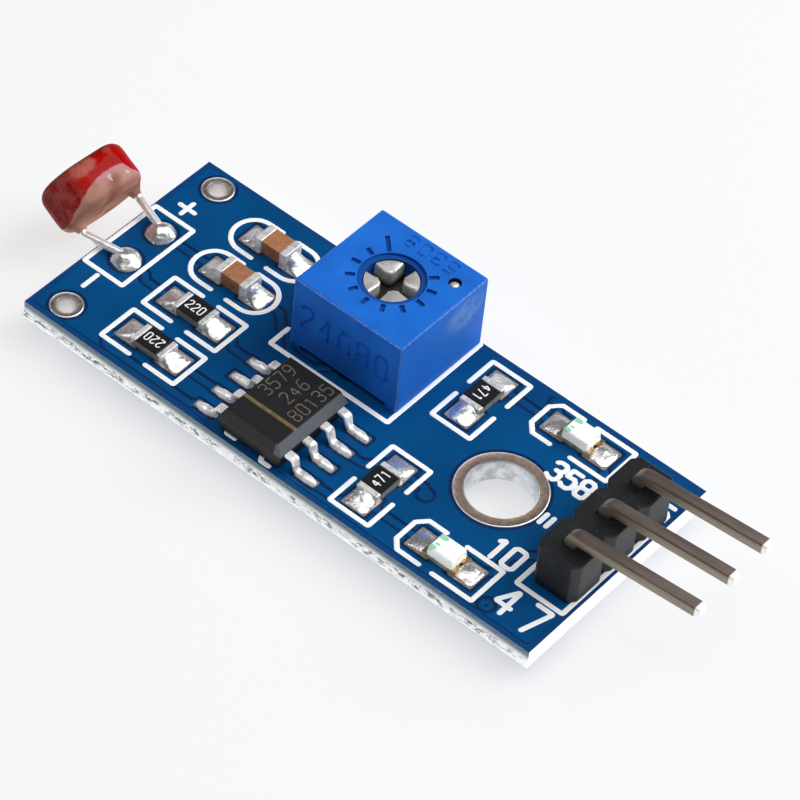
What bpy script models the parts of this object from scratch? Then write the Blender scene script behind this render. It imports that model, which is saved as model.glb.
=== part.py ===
# Light sensor module: a photoresistor, a trimmer and a comparator chip on a small circuit board.
# Sizes are in millimetres on the board's own axes: X runs along the board from the cell's end,
# Y across it from the middle, and Z up from its top face. The finished module stands on its
# trimmed pins, with the origin below its middle.

from math import cos, hypot, pi, radians, sin, tan

import bmesh
import bpy
from mathutils import Euler, Matrix, Vector

MM = 0.001

# Board
BOARD_LENGTH = 31.5
BOARD_WIDTH = 13.4
BOARD_THICK = 1.2
STUB_LENGTH = 1.0  # trimmed leads below the board, which the module stands on
FIT_GAP = 0.015  # between a round piece and the hole that holds it

# Plated holes
PLATING = 0.06
MOUNT_HOLE_X = 24.4
MOUNT_HOLE_RADIUS = 1.74
MOUNT_LAND_RADIUS = 2.34
CORNER_HOLE_X = 1.65
CORNER_HOLE_Y = 5.5
CORNER_HOLE_RADIUS = 0.5
CORNER_LAND_RADIUS = 0.85

# Solder joints of the leads that pass through the board
JOINT_HOLE_RADIUS = 0.45
JOINT_LAND_RADIUS = 0.8
JOINT_HEIGHT = 0.72  # of the cone below the board

# Light cell
CELL_X = -0.93
CELL_Y = 0.1
CELL_Z = 0.77
CELL_RADIUS = 2.4
CELL_FLAT = 2.03  # from the middle to the flats above and below
CELL_THICK = 2.5
CELL_ROUND = 0.6
CELL_TILT = 27.0  # how far its face looks up from level
CELL_TURN = -4.6
CELL_ROLL = -3.0
CELL_STEPS = 48
CELL_WINDOW_DEPTH = 0.12
CELL_LEAD_RADIUS = 0.25
CELL_LEAD_SPREAD = 3.6
CELL_LEAD_X = 1.65
CELL_LEAD_PITCH = 2.54
CELL_LEAD_RISE = 0.35  # height of the bend over the board
CELL_LEAD_STRAIGHT = 0.5  # before the bend next to the cell
CELL_LEAD_BEND = 0.4
CELL_SOCKET_DEPTH = 0.5
CELL_DOME_HEIGHT = 0.5
TRACK_WIDTH = 0.2
TRACK_THICK = 0.09
TRACK_STROKES = 7
TRACK_PITCH = 0.36
TRACK_MARGIN = 0.1

# Trimmer
TRIMMER_X = 14.36
TRIMMER_Y = 3.42
TRIMMER_LENGTH = 6.7
TRIMMER_DEPTH = 6.5
TRIMMER_HEIGHT = 4.5
TRIMMER_FOOT_WIDTH = 0.65
TRIMMER_FOOT_HEIGHT = 0.3
TRIMMER_WALL = 0.55
TRIMMER_TOP_WALL = 0.95
TRIMMER_EDGE = 0.12
BASE_THICK = 1.0
ELEMENT_THICK = 0.6
BORE_RADIUS = 2.5
WINDOW_RADIUS = 1.42
DIAL_RADIUS = 1.7
DIAL_DEPTH = 0.14
TICK_COUNT = 11
TICK_SWEEP = 270.0
TICK_WIDTH = 0.25
TICK_LENGTH = 0.5
TICK_START_GAP = 0.07  # from the dial's edge
FIRST_TICK_LENGTH = 1.05
TICK_DEPTH = 0.12
ROTOR_RUNNING_GAP = 0.06
ROTOR_FLANGE_GAP = 0.28
ROTOR_FLANGE_THICK = 0.7
ROTOR_TOP_DROP = 0.2
ROTOR_EDGE = 0.14
FLANGE_CLEARANCE = 0.3  # between the flange and the bore, where the stop and the tab are
SLOT_WIDTH = 0.7
SLOT_ROUND = 0.32  # of the four tips that meet at the middle of the cross
SLOT_DEPTH = 1.0
TURN_HALF = 130.0  # how far the rotor turns each way from the middle
TAB_HALF = 8.0
TAB_ROOT = 0.4  # how far the tab reaches back into the flange
STOP_MARGIN = 1.0
TAB_GAP = 0.06
SEAL_GAP = 0.02
CONTACT_GAP = 0.02
WIPER_THICK = 0.1
WIPER_WIDTH = 0.6
WIPER_REACH = 1.75
POST_X = 2.35
POST_Y = 1.88
REAR_PIN_Y = -2.3
TRIMMER_PIN_RADIUS = 0.25
POST_CHANNEL_RADIUS = 0.33
POST_TOP_DROP = 0.2

# Comparator chip
CHIP_X = 14.17
CHIP_Y = -3.93
CHIP_LENGTH = 4.9
CHIP_WIDTH = 3.9
CHIP_HEIGHT = 1.58
CHIP_LIFT = 0.1
CHIP_BAND_LOW = 0.72
CHIP_BAND_HIGH = 0.92
CHIP_SIDE_DRAFT = 0.35
CHIP_END_DRAFT = 0.17
CHIP_PITCH = 1.27
CHIP_LEADS_PER_SIDE = 4
CHIP_LEAD_WIDTH = 0.44
CHIP_TOE = 3.0
CHIP_PAD_END = 3.75

# Chip parts: their places, and whether they lie across the board
COLUMN_X = 6.55
COLUMN_Y = -4.6
COLUMN_PITCH = 2.97
CAPACITOR_X = 6.65
LOAD_X = 20.1
LOAD_Y = 3.78
LED_X = 25.2
LED_Y = 5.02
CHIP_PART_LENGTH = 2.0
CHIP_PART_WIDTH = 1.25
PAD_REACH = 1.9
SOLDER_EDGE = 0.03
RESISTOR_HEIGHT = 0.5
RESISTOR_COAT = 0.03
RESISTOR_WRAP = 0.32
END_PLATE = 0.05
CAPACITOR_HEIGHT = 0.88
CAPACITOR_WRAP = 0.45
CAPACITOR_EDGE = 0.06
LED_BASE_HEIGHT = 0.3
LED_LENS_LENGTH = 1.3
LED_LENS_HEIGHT = 0.5
LED_LENS_DRAFT = 0.1
LED_NOTCH_RADIUS = 0.24
LED_NOTCH_FLOOR = 0.1
LED_NOTCH_STEPS = 16
LED_PLATE = 0.04
LED_LENS_EDGE = 0.12

# Header
HEADER_X = 30.0
HEADER_Y = 0.5
HEADER_WAYS = 3
HEADER_PITCH = 2.54
HEADER_WIDTH = 2.5
HEADER_HEIGHT = 2.54
HEADER_NOTCH = 0.32
HEADER_NOTCH_LENGTH = 0.42
PIN_SIDE = 0.64
PIN_HOLE_RADIUS = 0.5
PIN_BEND = 0.52
PIN_BEND_GAP = 0.04  # from the insulator to where the bend starts
PIN_REACH = 7.3
PIN_RISE = 5.0
PIN_POINT = 0.22
PIN_POINT_SHARE = 0.62  # of the pin's side that is left at its tip

ROUND_STEPS = 40
SMALL_STEPS = 20
WIRE_SIDES = 12


def clear_scene():
    for item in list(bpy.data.objects):
        bpy.data.objects.remove(item, do_unlink=True)


def make_material(name, colour, roughness, metallic=0.0):
    material = bpy.data.materials.new(name)
    material.use_nodes = True
    shader = material.node_tree.nodes["Principled BSDF"]
    shader.inputs["Base Color"].default_value = (*colour, 1.0)
    shader.inputs["Roughness"].default_value = roughness
    shader.inputs["Metallic"].default_value = metallic
    return material


def make_empty(name, parent, place, rotation=(0.0, 0.0, 0.0)):
    empty = bpy.data.objects.new(name, None)
    empty.parent = parent
    empty.location = Vector(place) * MM
    empty.rotation_euler = rotation
    bpy.context.collection.objects.link(empty)
    return empty


def mesh_from(name, shape):
    bmesh.ops.recalc_face_normals(shape, faces=shape.faces)
    bmesh.ops.scale(shape, vec=(MM, MM, MM), verts=shape.verts)
    mesh = bpy.data.meshes.new(name)
    shape.to_mesh(mesh)
    shape.free()
    return mesh


def smooth(mesh):
    mesh.shade_smooth()
    mesh.set_sharp_from_angle(angle=radians(35.0))


def make_piece(name, shape, material, parent, place=(0.0, 0.0, 0.0), turn=0.0):
    mesh = mesh_from(name, shape)
    smooth(mesh)
    mesh.materials.append(material)
    piece = bpy.data.objects.new(name, mesh)
    piece.parent = parent
    piece.location = Vector(place) * MM
    piece.rotation_euler = (0.0, 0.0, radians(turn))
    bpy.context.collection.objects.link(piece)
    return piece


def combine(piece, shape, operation="DIFFERENCE", name="cutter"):
    # A helper shares its piece's own place, so both are drawn on the same axes.
    helper = bpy.data.objects.new(piece.name + "_" + name, mesh_from(name, shape))
    helper.parent = piece
    helper.hide_render = True
    helper.display_type = "WIRE"
    bpy.context.collection.objects.link(helper)
    change = piece.modifiers.new(name, "BOOLEAN")
    change.operation = operation
    change.solver = "EXACT"
    change.object = helper
    return helper


def loft(rings, closed=False):
    # Skins a row of rings that have the same number of points; a ring of one point closes an end.
    shape = bmesh.new()
    made = [[shape.verts.new(point) for point in ring] for ring in rings]
    pairs = list(zip(made, made[1:]))
    if closed:
        pairs.append((made[-1], made[0]))
    for first, second in pairs:
        count = max(len(first), len(second))
        for i in range(count):
            j = (i + 1) % count
            if len(first) == 1:
                shape.faces.new((first[0], second[i], second[j]))
            elif len(second) == 1:
                shape.faces.new((first[i], second[0], first[j]))
            else:
                shape.faces.new((first[i], second[i], second[j], first[j]))
    if not closed:
        for ring in (made[0], made[-1]):
            if len(ring) > 2:
                shape.faces.new(ring)
    return shape


def turned(profile, steps=ROUND_STEPS, closed=False):
    # Turns (radius, height) points about Z.
    rings = []
    for radius, height in profile:
        if radius == 0.0:
            rings.append([(0.0, 0.0, height)])
        else:
            angles = [2.0 * pi * i / steps for i in range(steps)]
            rings.append([(radius * cos(a), radius * sin(a), height) for a in angles])
    return loft(rings, closed)


def prism(outline, low, high, axis="Z"):
    # Extrudes an outline: in XY along Z, or in XZ along Y.
    def point(u, v, w):
        return (u, v, w) if axis == "Z" else (u, w, v)

    return loft([[point(u, v, w) for u, v in outline] for w in (low, high)])


def box(length, width, low, high, x=0.0, y=0.0):
    a, b = length / 2.0, width / 2.0
    return prism([(x - a, y - b), (x + a, y - b), (x + a, y + b), (x - a, y + b)], low, high)


def cylinder(radius, low, high, x=0.0, y=0.0, steps=SMALL_STEPS):
    # Its flats, not its corners, lie at the radius, so a round piece of that radius fits inside.
    outer = radius / cos(pi / steps)
    angles = [2.0 * pi * i / steps for i in range(steps)]
    return prism([(x + outer * cos(a), y + outer * sin(a)) for a in angles], low, high)


def sector(inner, outer, low, high, middle, half, steps=8):
    # A block between two radii, from middle - half to middle + half degrees.
    angles = [radians(middle - half + 2.0 * half * i / steps) for i in range(steps + 1)]
    outline = [(outer * cos(a), outer * sin(a)) for a in angles]
    outline += [(inner * cos(a), inner * sin(a)) for a in reversed(angles)]
    return prism(outline, low, high)


def merged(*shapes):
    # Puts several separate shapes into one mesh, as a cutter with more than one blade.
    whole = bmesh.new()
    for shape in shapes:
        bmesh.ops.recalc_face_normals(shape, faces=shape.faces)
        moved = {vert: whole.verts.new(vert.co) for vert in shape.verts}
        for face in shape.faces:
            whole.faces.new([moved[vert] for vert in face.verts])
        shape.free()
    return whole


def bevelled(shape, width, segments=2, keep=None):
    edges = [e for e in shape.edges if keep is None or keep(e)]
    bmesh.ops.bevel(shape, geom=edges, offset=width, segments=segments, affect="EDGES", profile=0.5)
    return shape


def arc(centre, radius, start, end, steps):
    angles = [radians(start + (end - start) * i / steps) for i in range(steps + 1)]
    return [(centre[0] + radius * cos(a), centre[1] + radius * sin(a)) for a in angles]


def rounded_path(corners, radius, steps=5):
    # Replaces each inner corner of a path with an arc of the given radius.
    path = [Vector(corners[0])]
    for before, corner, after in zip(corners, corners[1:], corners[2:]):
        before, corner, after = Vector(before), Vector(corner), Vector(after)
        arriving = (corner - before).normalized()
        leaving = (after - corner).normalized()
        half = arriving.angle(leaving) / 2.0
        centre_way = (leaving - arriving).normalized()
        centre = corner + centre_way * (radius / cos(half))
        start = corner - arriving * (radius * tan(half)) - centre
        axis = arriving.cross(leaving).normalized()
        for i in range(steps + 1):
            path.append(centre + Matrix.Rotation(2.0 * half * i / steps, 3, axis) @ start)
    path.append(Vector(corners[-1]))
    return path


def swept(path, section, side):
    # Carries a flat section along a path, turning it no more than the path turns.
    rings = []
    side = Vector(side).normalized()
    for i, point in enumerate(path):
        before = path[max(i - 1, 0)]
        after = path[min(i + 1, len(path) - 1)]
        way = (after - before).normalized()
        side = (side - way * side.dot(way)).normalized()
        other = way.cross(side)
        rings.append([point + side * u + other * v for u, v in section])
    return loft(rings)


def polygon(radius, sides):
    angles = [2.0 * pi * i / sides for i in range(sides)]
    return [(radius * cos(a), radius * sin(a)) for a in angles]


def square(side):
    a = side / 2.0
    return [(-a, -a), (a, -a), (a, a), (-a, a)]


def cell_profile():
    # From the middle of the flat back to the window sunk in the front.
    back = arc((CELL_RADIUS - CELL_ROUND, CELL_ROUND), CELL_ROUND, -90.0, 0.0, 4)
    front_height = CELL_THICK - CELL_ROUND
    front = arc((CELL_RADIUS - CELL_ROUND, front_height), CELL_ROUND, 0.0, 90.0, 4)
    floor = CELL_THICK - CELL_WINDOW_DEPTH
    return [(0.0, 0.0), *back, *front, (window_radius(), floor), (0.0, floor)]


def window_radius():
    return CELL_RADIUS - CELL_ROUND


def cell_rings():
    # The profile turned about Z, but held between the two flats.
    rings = []
    for radius, height in cell_profile():
        flat = CELL_FLAT - CELL_RADIUS + radius
        if radius == 0.0:
            rings.append([Vector((0.0, 0.0, height))])
        else:
            ring = [Vector((x, y, height)) for x, y in polygon(radius, CELL_STEPS)]
            for point in ring:
                point.x = max(-flat, min(flat, point.x))
            rings.append(ring)
    return rings


def cell_matrix():
    # The cell's own Z runs out of its face, its X up and its Y across the board.
    turn = Euler((0.0, radians(CELL_TILT - 90.0), radians(CELL_TURN))).to_matrix()
    roll = Matrix.Rotation(radians(CELL_ROLL), 3, "Z")
    return Matrix.Translation((CELL_X, CELL_Y, CELL_Z)) @ (turn @ roll).to_4x4()


def lowest_x():
    # How far the tilted cell reaches past the board's end.
    matrix = cell_matrix()
    return min((matrix @ point).x for ring in cell_rings() for point in ring)


def joint_profile(hole_radius, wire_radius, top):
    # Solder that fills a plated hole, from the cone below the board to the given points on top.
    below = -BOARD_THICK
    barrel = hole_radius - FIT_GAP
    neck = wire_radius + 0.03
    cone = (JOINT_LAND_RADIUS + neck) / 2.0
    return [
        (0.0, below - JOINT_HEIGHT),
        (neck, below - JOINT_HEIGHT),
        (cone - 0.12, below - 0.35 * JOINT_HEIGHT),
        (JOINT_LAND_RADIUS, below - 0.04),
        (JOINT_LAND_RADIUS, below),
        (barrel, below),
        (barrel, 0.0),
        *top,
    ]


def dome_points(wire_radius):
    neck = wire_radius + 0.05
    return [
        (JOINT_LAND_RADIUS, 0.0),
        (JOINT_LAND_RADIUS, 0.05),
        (0.62 * JOINT_LAND_RADIUS + 0.1, 0.42 * CELL_DOME_HEIGHT),
        (neck + 0.08, 0.8 * CELL_DOME_HEIGHT),
        (neck, CELL_DOME_HEIGHT),
        (0.0, CELL_DOME_HEIGHT),
    ]


def plated_hole(name, x, y, hole_radius, land_radius, steps, material, module):
    barrel = hole_radius + PLATING
    low = -BOARD_THICK
    profile = [
        (hole_radius, low - PLATING),
        (land_radius, low - PLATING),
        (land_radius, low),
        (barrel, low),
        (barrel, 0.0),
        (land_radius, 0.0),
        (land_radius, PLATING),
        (hole_radius, PLATING),
    ]
    make_piece(name, turned(profile, steps, closed=True), material, module, (x, y, 0.0))


def cell_lead_places():
    half = CELL_LEAD_PITCH / 2.0
    return {"plus": (CELL_LEAD_X, half), "minus": (CELL_LEAD_X, -half)}


def trimmer_pin_places():
    return [
        (TRIMMER_X - POST_X, TRIMMER_Y + POST_Y),
        (TRIMMER_X, TRIMMER_Y + REAR_PIN_Y),
        (TRIMMER_X + POST_X, TRIMMER_Y + POST_Y),
    ]


def header_pin_places():
    middle = (HEADER_WAYS - 1) / 2.0
    return [(HEADER_X, HEADER_Y + (i - middle) * HEADER_PITCH) for i in range(HEADER_WAYS)]


def build_board(looks, module):
    board = make_piece(
        "circuit_board",
        box(BOARD_LENGTH, BOARD_WIDTH, -BOARD_THICK, 0.0, x=BOARD_LENGTH / 2.0),
        looks["mask"],
        module,
    )
    low, high = -BOARD_THICK - 1.0, 1.0
    sleeve = PLATING + FIT_GAP
    holes = [cylinder(MOUNT_HOLE_RADIUS + sleeve, low, high, MOUNT_HOLE_X, 0.0, ROUND_STEPS)]
    for side in (-1, 1):
        y = side * CORNER_HOLE_Y
        holes.append(cylinder(CORNER_HOLE_RADIUS + sleeve, low, high, CORNER_HOLE_X, y))
    for x, y in [*cell_lead_places().values(), *trimmer_pin_places()]:
        holes.append(cylinder(JOINT_HOLE_RADIUS, low, high, x, y))
    for x, y in header_pin_places():
        holes.append(cylinder(PIN_HOLE_RADIUS, low, high, x, y))
    combine(board, merged(*holes))


def build_plating(looks, module):
    plated_hole(
        "mounting_hole_plating",
        MOUNT_HOLE_X,
        0.0,
        MOUNT_HOLE_RADIUS,
        MOUNT_LAND_RADIUS,
        ROUND_STEPS,
        looks["tin"],
        module,
    )
    for side, sign in (("left", -1), ("right", 1)):
        plated_hole(
            "corner_eyelet_" + side,
            CORNER_HOLE_X,
            sign * CORNER_HOLE_Y,
            CORNER_HOLE_RADIUS,
            CORNER_LAND_RADIUS,
            SMALL_STEPS,
            looks["tin"],
            module,
        )


def track_line():
    # A square-cornered snake that fills the window, stroke by stroke
    reach = window_radius() - TRACK_MARGIN
    places = [(i - (TRACK_STROKES - 1) / 2.0) * TRACK_PITCH for i in range(TRACK_STROKES)]
    spans = [(reach**2 - (abs(u) + TRACK_WIDTH / 2.0) ** 2) ** 0.5 - TRACK_WIDTH / 2.0 for u in places]
    sign = 1.0
    line = [Vector((places[0], -sign * spans[0]))]
    for i in range(1, TRACK_STROKES):
        # The link between two strokes runs straight where the shorter one ends.
        link = sign * min(spans[i - 1], spans[i])
        line += [Vector((places[i - 1], link)), Vector((places[i], link))]
        sign = -sign
    line.append(Vector((places[-1], sign * spans[-1])))
    return line


def track_outline():
    line = track_line()
    sides = ([], [])
    for i, point in enumerate(line):
        ways = [(b - a).normalized() for a, b in zip(line, line[1:])][max(i - 1, 0) : i + 1]
        corner = sum((Vector((-way.y, way.x)) for way in ways), Vector((0.0, 0.0)))
        for side, sign in zip(sides, (1.0, -1.0)):
            side.append(tuple(point + corner * sign * TRACK_WIDTH / 2.0))
    return sides[0] + sides[1][::-1]


def build_cell(looks, module):
    matrix = cell_matrix()
    axis = make_empty("cell_axis", module, matrix.translation, matrix.to_euler())
    body = make_piece("light_cell_body", loft(cell_rings()), looks["cell"], axis)
    spread = CELL_LEAD_SPREAD / 2.0
    bore = CELL_LEAD_RADIUS + FIT_GAP
    depth = CELL_SOCKET_DEPTH + FIT_GAP
    sockets = [cylinder(bore, -1.0, depth, 0.0, sign * spread, WIRE_SIDES) for sign in (-1, 1)]
    combine(body, merged(*sockets))
    floor = CELL_THICK - CELL_WINDOW_DEPTH
    make_piece("light_cell_track", prism(track_outline(), floor, floor + TRACK_THICK), looks["track"], axis)
    for side, (x, y) in cell_lead_places().items():
        sign = 1.0 if y > 0.0 else -1.0
        corners = [
            Vector((x, y, -BOARD_THICK - STUB_LENGTH)),
            Vector((x, y, CELL_LEAD_RISE)),
            matrix @ Vector((0.0, sign * spread, -CELL_LEAD_STRAIGHT)),
            matrix @ Vector((0.0, sign * spread, CELL_SOCKET_DEPTH)),
        ]
        path = rounded_path(corners, CELL_LEAD_BEND)
        wire = swept(path, polygon(CELL_LEAD_RADIUS, WIRE_SIDES), (0.0, 1.0, 0.0))
        lead = make_piece("light_cell_lead_" + side, wire, looks["tin"], module)
        profile = joint_profile(JOINT_HOLE_RADIUS, CELL_LEAD_RADIUS, dome_points(CELL_LEAD_RADIUS))
        joint = turned(profile, SMALL_STEPS)
        bmesh.ops.translate(joint, vec=(x, y, 0.0), verts=joint.verts)
        combine(lead, joint, "UNION", "solder")


def trimmer_levels():
    # Heights over the board, from the base plate up to the rotor's slotted top.
    foot = TRIMMER_FOOT_HEIGHT
    element = foot + BASE_THICK
    bore = element + ELEMENT_THICK
    ceiling = TRIMMER_HEIGHT - TRIMMER_TOP_WALL
    flange_top = ceiling - ROTOR_FLANGE_GAP - 2.0 * SEAL_GAP
    return {
        "foot": foot,
        "element": element,
        "bore": bore,
        "flange_low": flange_top - ROTOR_FLANGE_THICK,
        "flange_top": flange_top,
        "ceiling": ceiling,
        "rotor_top": TRIMMER_HEIGHT - ROTOR_TOP_DROP,
        "top": TRIMMER_HEIGHT,
    }


def tick_blades(top):
    blades = []
    for i in range(TICK_COUNT):
        angle = radians(270.0 - TICK_SWEEP / 2.0 + TICK_SWEEP * i / (TICK_COUNT - 1))
        length = FIRST_TICK_LENGTH if i == 0 else TICK_LENGTH
        start = DIAL_RADIUS + TICK_START_GAP
        blade = box(length, TICK_WIDTH, top - TICK_DEPTH, top + 0.5, x=start + length / 2.0)
        bmesh.ops.rotate(blade, cent=(0, 0, 0), matrix=Matrix.Rotation(angle, 3, "Z"), verts=blade.verts)
        blades.append(blade)
    return blades


def build_trimmer_housing(looks, module, level):
    def upper(edge):
        return max(vert.co.z for vert in edge.verts) > level["top"] - 0.01

    place = (TRIMMER_X, TRIMMER_Y, 0.0)
    block = bevelled(box(TRIMMER_LENGTH, TRIMMER_DEPTH, 0.0, level["top"]), TRIMMER_EDGE, 2, upper)
    housing = make_piece("trimmer_housing", block, looks["trimmer"], module, place)
    # The round chamber, the window over it and the sunk ring of the dial
    chamber = [
        (0.0, level["bore"] - 0.5),
        (BORE_RADIUS, level["bore"] - 0.5),
        (BORE_RADIUS, level["ceiling"]),
        (WINDOW_RADIUS, level["ceiling"]),
        (WINDOW_RADIUS, level["top"] - DIAL_DEPTH),
        (DIAL_RADIUS, level["top"] - DIAL_DEPTH),
        (DIAL_RADIUS, level["top"] + 0.5),
        (0.0, level["top"] + 0.5),
    ]
    hollow = combine(housing, turned(chamber), name="chamber")
    # What the chamber leaves standing at the far side stops the rotor's tab at each end of its turn.
    stop_half = 180.0 - TURN_HALF - TAB_HALF - STOP_MARGIN
    inner, outer = rotor_flange_radius() + TAB_GAP, BORE_RADIUS + 0.5
    stop = sector(inner, outer, level["flange_low"] - 0.1, level["ceiling"] + 0.5, 90.0, stop_half)
    combine(hollow, stop, name="stop")
    inner_length = TRIMMER_LENGTH - 2.0 * TRIMMER_WALL
    inner_depth = TRIMMER_DEPTH - 2.0 * TRIMMER_WALL
    pocket = box(inner_length, inner_depth, -1.0, level["bore"])
    combine(housing, pocket, name="pocket")
    relief = box(TRIMMER_LENGTH - 2.0 * TRIMMER_FOOT_WIDTH, TRIMMER_DEPTH + 2.0, -1.0, level["foot"])
    combine(housing, relief, name="relief")
    channel = cylinder(POST_CHANNEL_RADIUS, level["bore"] - 0.5, level["top"] + 0.5, POST_X, POST_Y, 16)
    combine(housing, merged(channel, *tick_blades(level["top"])), name="dial")


def rotor_flange_radius():
    return BORE_RADIUS - FLANGE_CLEARANCE


def cross_outline():
    # A cross whose four inner corners are cut back, which rounds the tips of the metal left between
    half, reach = SLOT_WIDTH / 2.0, WINDOW_RADIUS + 0.5
    tip = half + SLOT_ROUND
    corner = [(reach, half), *arc((tip, tip), SLOT_ROUND, 270.0, 180.0, 5), (half, reach)]
    outline = []
    for quarter in range(4):
        turn = Matrix.Rotation(radians(90.0 * quarter), 2)
        outline += [tuple(turn @ Vector(point)) for point in corner]
    return outline


def build_rotor(looks, axis, level):
    neck = WINDOW_RADIUS - ROTOR_RUNNING_GAP
    profile = [
        (0.0, level["flange_low"]),
        (rotor_flange_radius(), level["flange_low"]),
        (rotor_flange_radius(), level["flange_top"]),
        (neck, level["flange_top"]),
        (neck, level["rotor_top"] - ROTOR_EDGE),
        (neck - ROTOR_EDGE, level["rotor_top"]),
        (0.0, level["rotor_top"]),
    ]
    rotor = make_piece("trimmer_rotor", turned(profile), looks["rotor"], axis)
    inner, outer = rotor_flange_radius() - TAB_ROOT, BORE_RADIUS - TAB_GAP
    tab = sector(inner, outer, level["flange_low"], level["flange_top"] - 0.05, 270.0, TAB_HALF, 3)
    combine(rotor, tab, "UNION", "tab")
    floor = level["rotor_top"] - SLOT_DEPTH
    combine(rotor, prism(cross_outline(), floor, level["rotor_top"] + 0.5), name="cross")


def build_wiper(looks, axis, level):
    # A spring strip that bridges the middle contact and the track, seen from its edge
    top = level["flange_low"]
    low = level["bore"] + CONTACT_GAP
    t = WIPER_THICK
    outline = [
        (-0.3, low + t),
        (-0.15, low),
        (0.15, low),
        (0.3, low + t),
        (0.55, top - t),
        (WIPER_REACH - 0.6, top - t),
        (WIPER_REACH - 0.25, low + t),
        (WIPER_REACH - 0.1, low),
        (WIPER_REACH + 0.1, low),
        (WIPER_REACH + 0.25, low + t),
        (WIPER_REACH + 0.1, low + 2.0 * t),
        (WIPER_REACH - 0.1, low + 2.0 * t),
        (WIPER_REACH - 0.45, top),
        (-0.55, top),
        (-0.55, top - t),
        (-0.5, top - t),
    ]
    strip = prism(outline, -WIPER_WIDTH / 2.0, WIPER_WIDTH / 2.0, "Y")
    make_piece("trimmer_wiper", strip, looks["brass"], axis)


def build_seal(looks, axis, level):
    thick = ROTOR_FLANGE_GAP / 2.0
    neck = WINDOW_RADIUS - ROTOR_RUNNING_GAP
    centre = (neck + SEAL_GAP + thick, level["flange_top"] + SEAL_GAP + thick)
    ring = turned(arc(centre, thick, 0.0, 315.0, 7), ROUND_STEPS, closed=True)
    make_piece("trimmer_seal_ring", ring, looks["rubber"], axis)


def build_trimmer_inside(looks, module, level):
    place = (TRIMMER_X, TRIMMER_Y, 0.0)
    length = TRIMMER_LENGTH - 2.0 * TRIMMER_WALL - 2.0 * FIT_GAP
    depth = TRIMMER_DEPTH - 2.0 * TRIMMER_WALL - 2.0 * FIT_GAP
    plate = box(length, depth, level["element"], level["bore"])
    element = make_piece("trimmer_resistor_element", plate, looks["ceramic"], module, place)
    hole = TRIMMER_PIN_RADIUS + FIT_GAP
    combine(element, cylinder(hole, 0.0, level["bore"] + 0.5, POST_X, POST_Y, WIRE_SIDES), name="post_hole")
    plate = box(length, depth, level["foot"], level["element"])
    base = make_piece("trimmer_base", plate, looks["trimmer"], module, place)
    holes = [
        cylinder(hole, 0.0, level["element"] + 0.5, x - TRIMMER_X, y - TRIMMER_Y, WIRE_SIDES)
        for x, y in trimmer_pin_places()
    ]
    combine(base, merged(*holes), name="pin_holes")


def build_trimmer_pins(looks, module, level):
    # The third pin runs up through the housing, where a small hole in the top shows its end.
    tops = [level["element"], level["element"], level["top"] - POST_TOP_DROP]
    radius = TRIMMER_PIN_RADIUS
    for i, ((x, y), top) in enumerate(zip(trimmer_pin_places(), tops)):
        profile = joint_profile(JOINT_HOLE_RADIUS, radius, [(radius, 0.0), (radius, top), (0.0, top)])
        end = -BOARD_THICK - STUB_LENGTH
        neck = profile[1]
        profile[:1] = [(0.0, end), (radius, end), (radius, neck[1])]
        make_piece(f"trimmer_pin_{i + 1}", turned(profile, WIRE_SIDES), looks["tin"], module, (x, y, 0.0))


def build_trimmer(looks, module):
    level = trimmer_levels()
    axis = make_empty("rotor_axis", module, (TRIMMER_X, TRIMMER_Y, 0.0))
    build_trimmer_housing(looks, module, level)
    build_rotor(looks, axis, level)
    build_wiper(looks, axis, level)
    build_seal(looks, axis, level)
    build_trimmer_inside(looks, module, level)
    build_trimmer_pins(looks, module, level)


def rectangle_ring(height, length, width):
    corners = ((-1, -1), (1, -1), (1, 1), (-1, 1))
    return [(i * length, j * width, height) for i, j in corners]


def build_chip(looks, module):
    across, along = CHIP_WIDTH / 2.0, CHIP_LENGTH / 2.0
    rings = [
        rectangle_ring(CHIP_LIFT, across - 0.4 * CHIP_SIDE_DRAFT, along - 0.4 * CHIP_END_DRAFT),
        rectangle_ring(CHIP_BAND_LOW, across, along),
        rectangle_ring(CHIP_BAND_HIGH, across, along),
        rectangle_ring(CHIP_HEIGHT, across - CHIP_SIDE_DRAFT, along - CHIP_END_DRAFT),
    ]
    make_piece("comparator_body", loft(rings), looks["chip"], module, (CHIP_X, CHIP_Y, 0.0))


def gull_wing():
    # The lead from the body down to its pad, with the solder at its heel and toe, seen from the side
    high, low = CHIP_BAND_HIGH, CHIP_BAND_LOW
    start = CHIP_WIDTH / 2.0
    foot = high - low
    return [
        (start, high),
        (start + 0.25, high),
        (start + 0.38, high - 0.06),
        (start + 0.47, low),
        (start + 0.55, foot + 0.16),
        (start + 0.63, foot + 0.04),
        (start + 0.73, foot),
        (CHIP_TOE, foot),
        (CHIP_TOE + 0.12, 0.65 * foot),
        (CHIP_TOE + 0.35, 0.35 * foot),
        (CHIP_PAD_END, SOLDER_EDGE),
        (CHIP_PAD_END, 0.0),
        (start + 0.2, 0.0),
        (start + 0.2, SOLDER_EDGE),
        (start + 0.32, 0.6 * foot),
        (start + 0.36, foot + 0.1),
        (start + 0.28, low - 0.06),
        (start + 0.21, low),
        (start, low),
    ]


def build_chip_leads(looks, module):
    half = CHIP_LEAD_WIDTH / 2.0
    wing = prism(gull_wing(), -half, half, "Y")
    number = 1
    # Seen from above, the numbers run down the left side and back up the right.
    for turn, sign in ((0.0, 1.0), (180.0, -1.0)):
        for i in range(CHIP_LEADS_PER_SIDE):
            y = sign * (i - (CHIP_LEADS_PER_SIDE - 1) / 2.0) * CHIP_PITCH
            place = (CHIP_X, CHIP_Y + y, 0.0)
            make_piece(f"comparator_lead_{number}", wing.copy(), looks["tin"], module, place, turn)
            number += 1
    wing.free()


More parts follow.
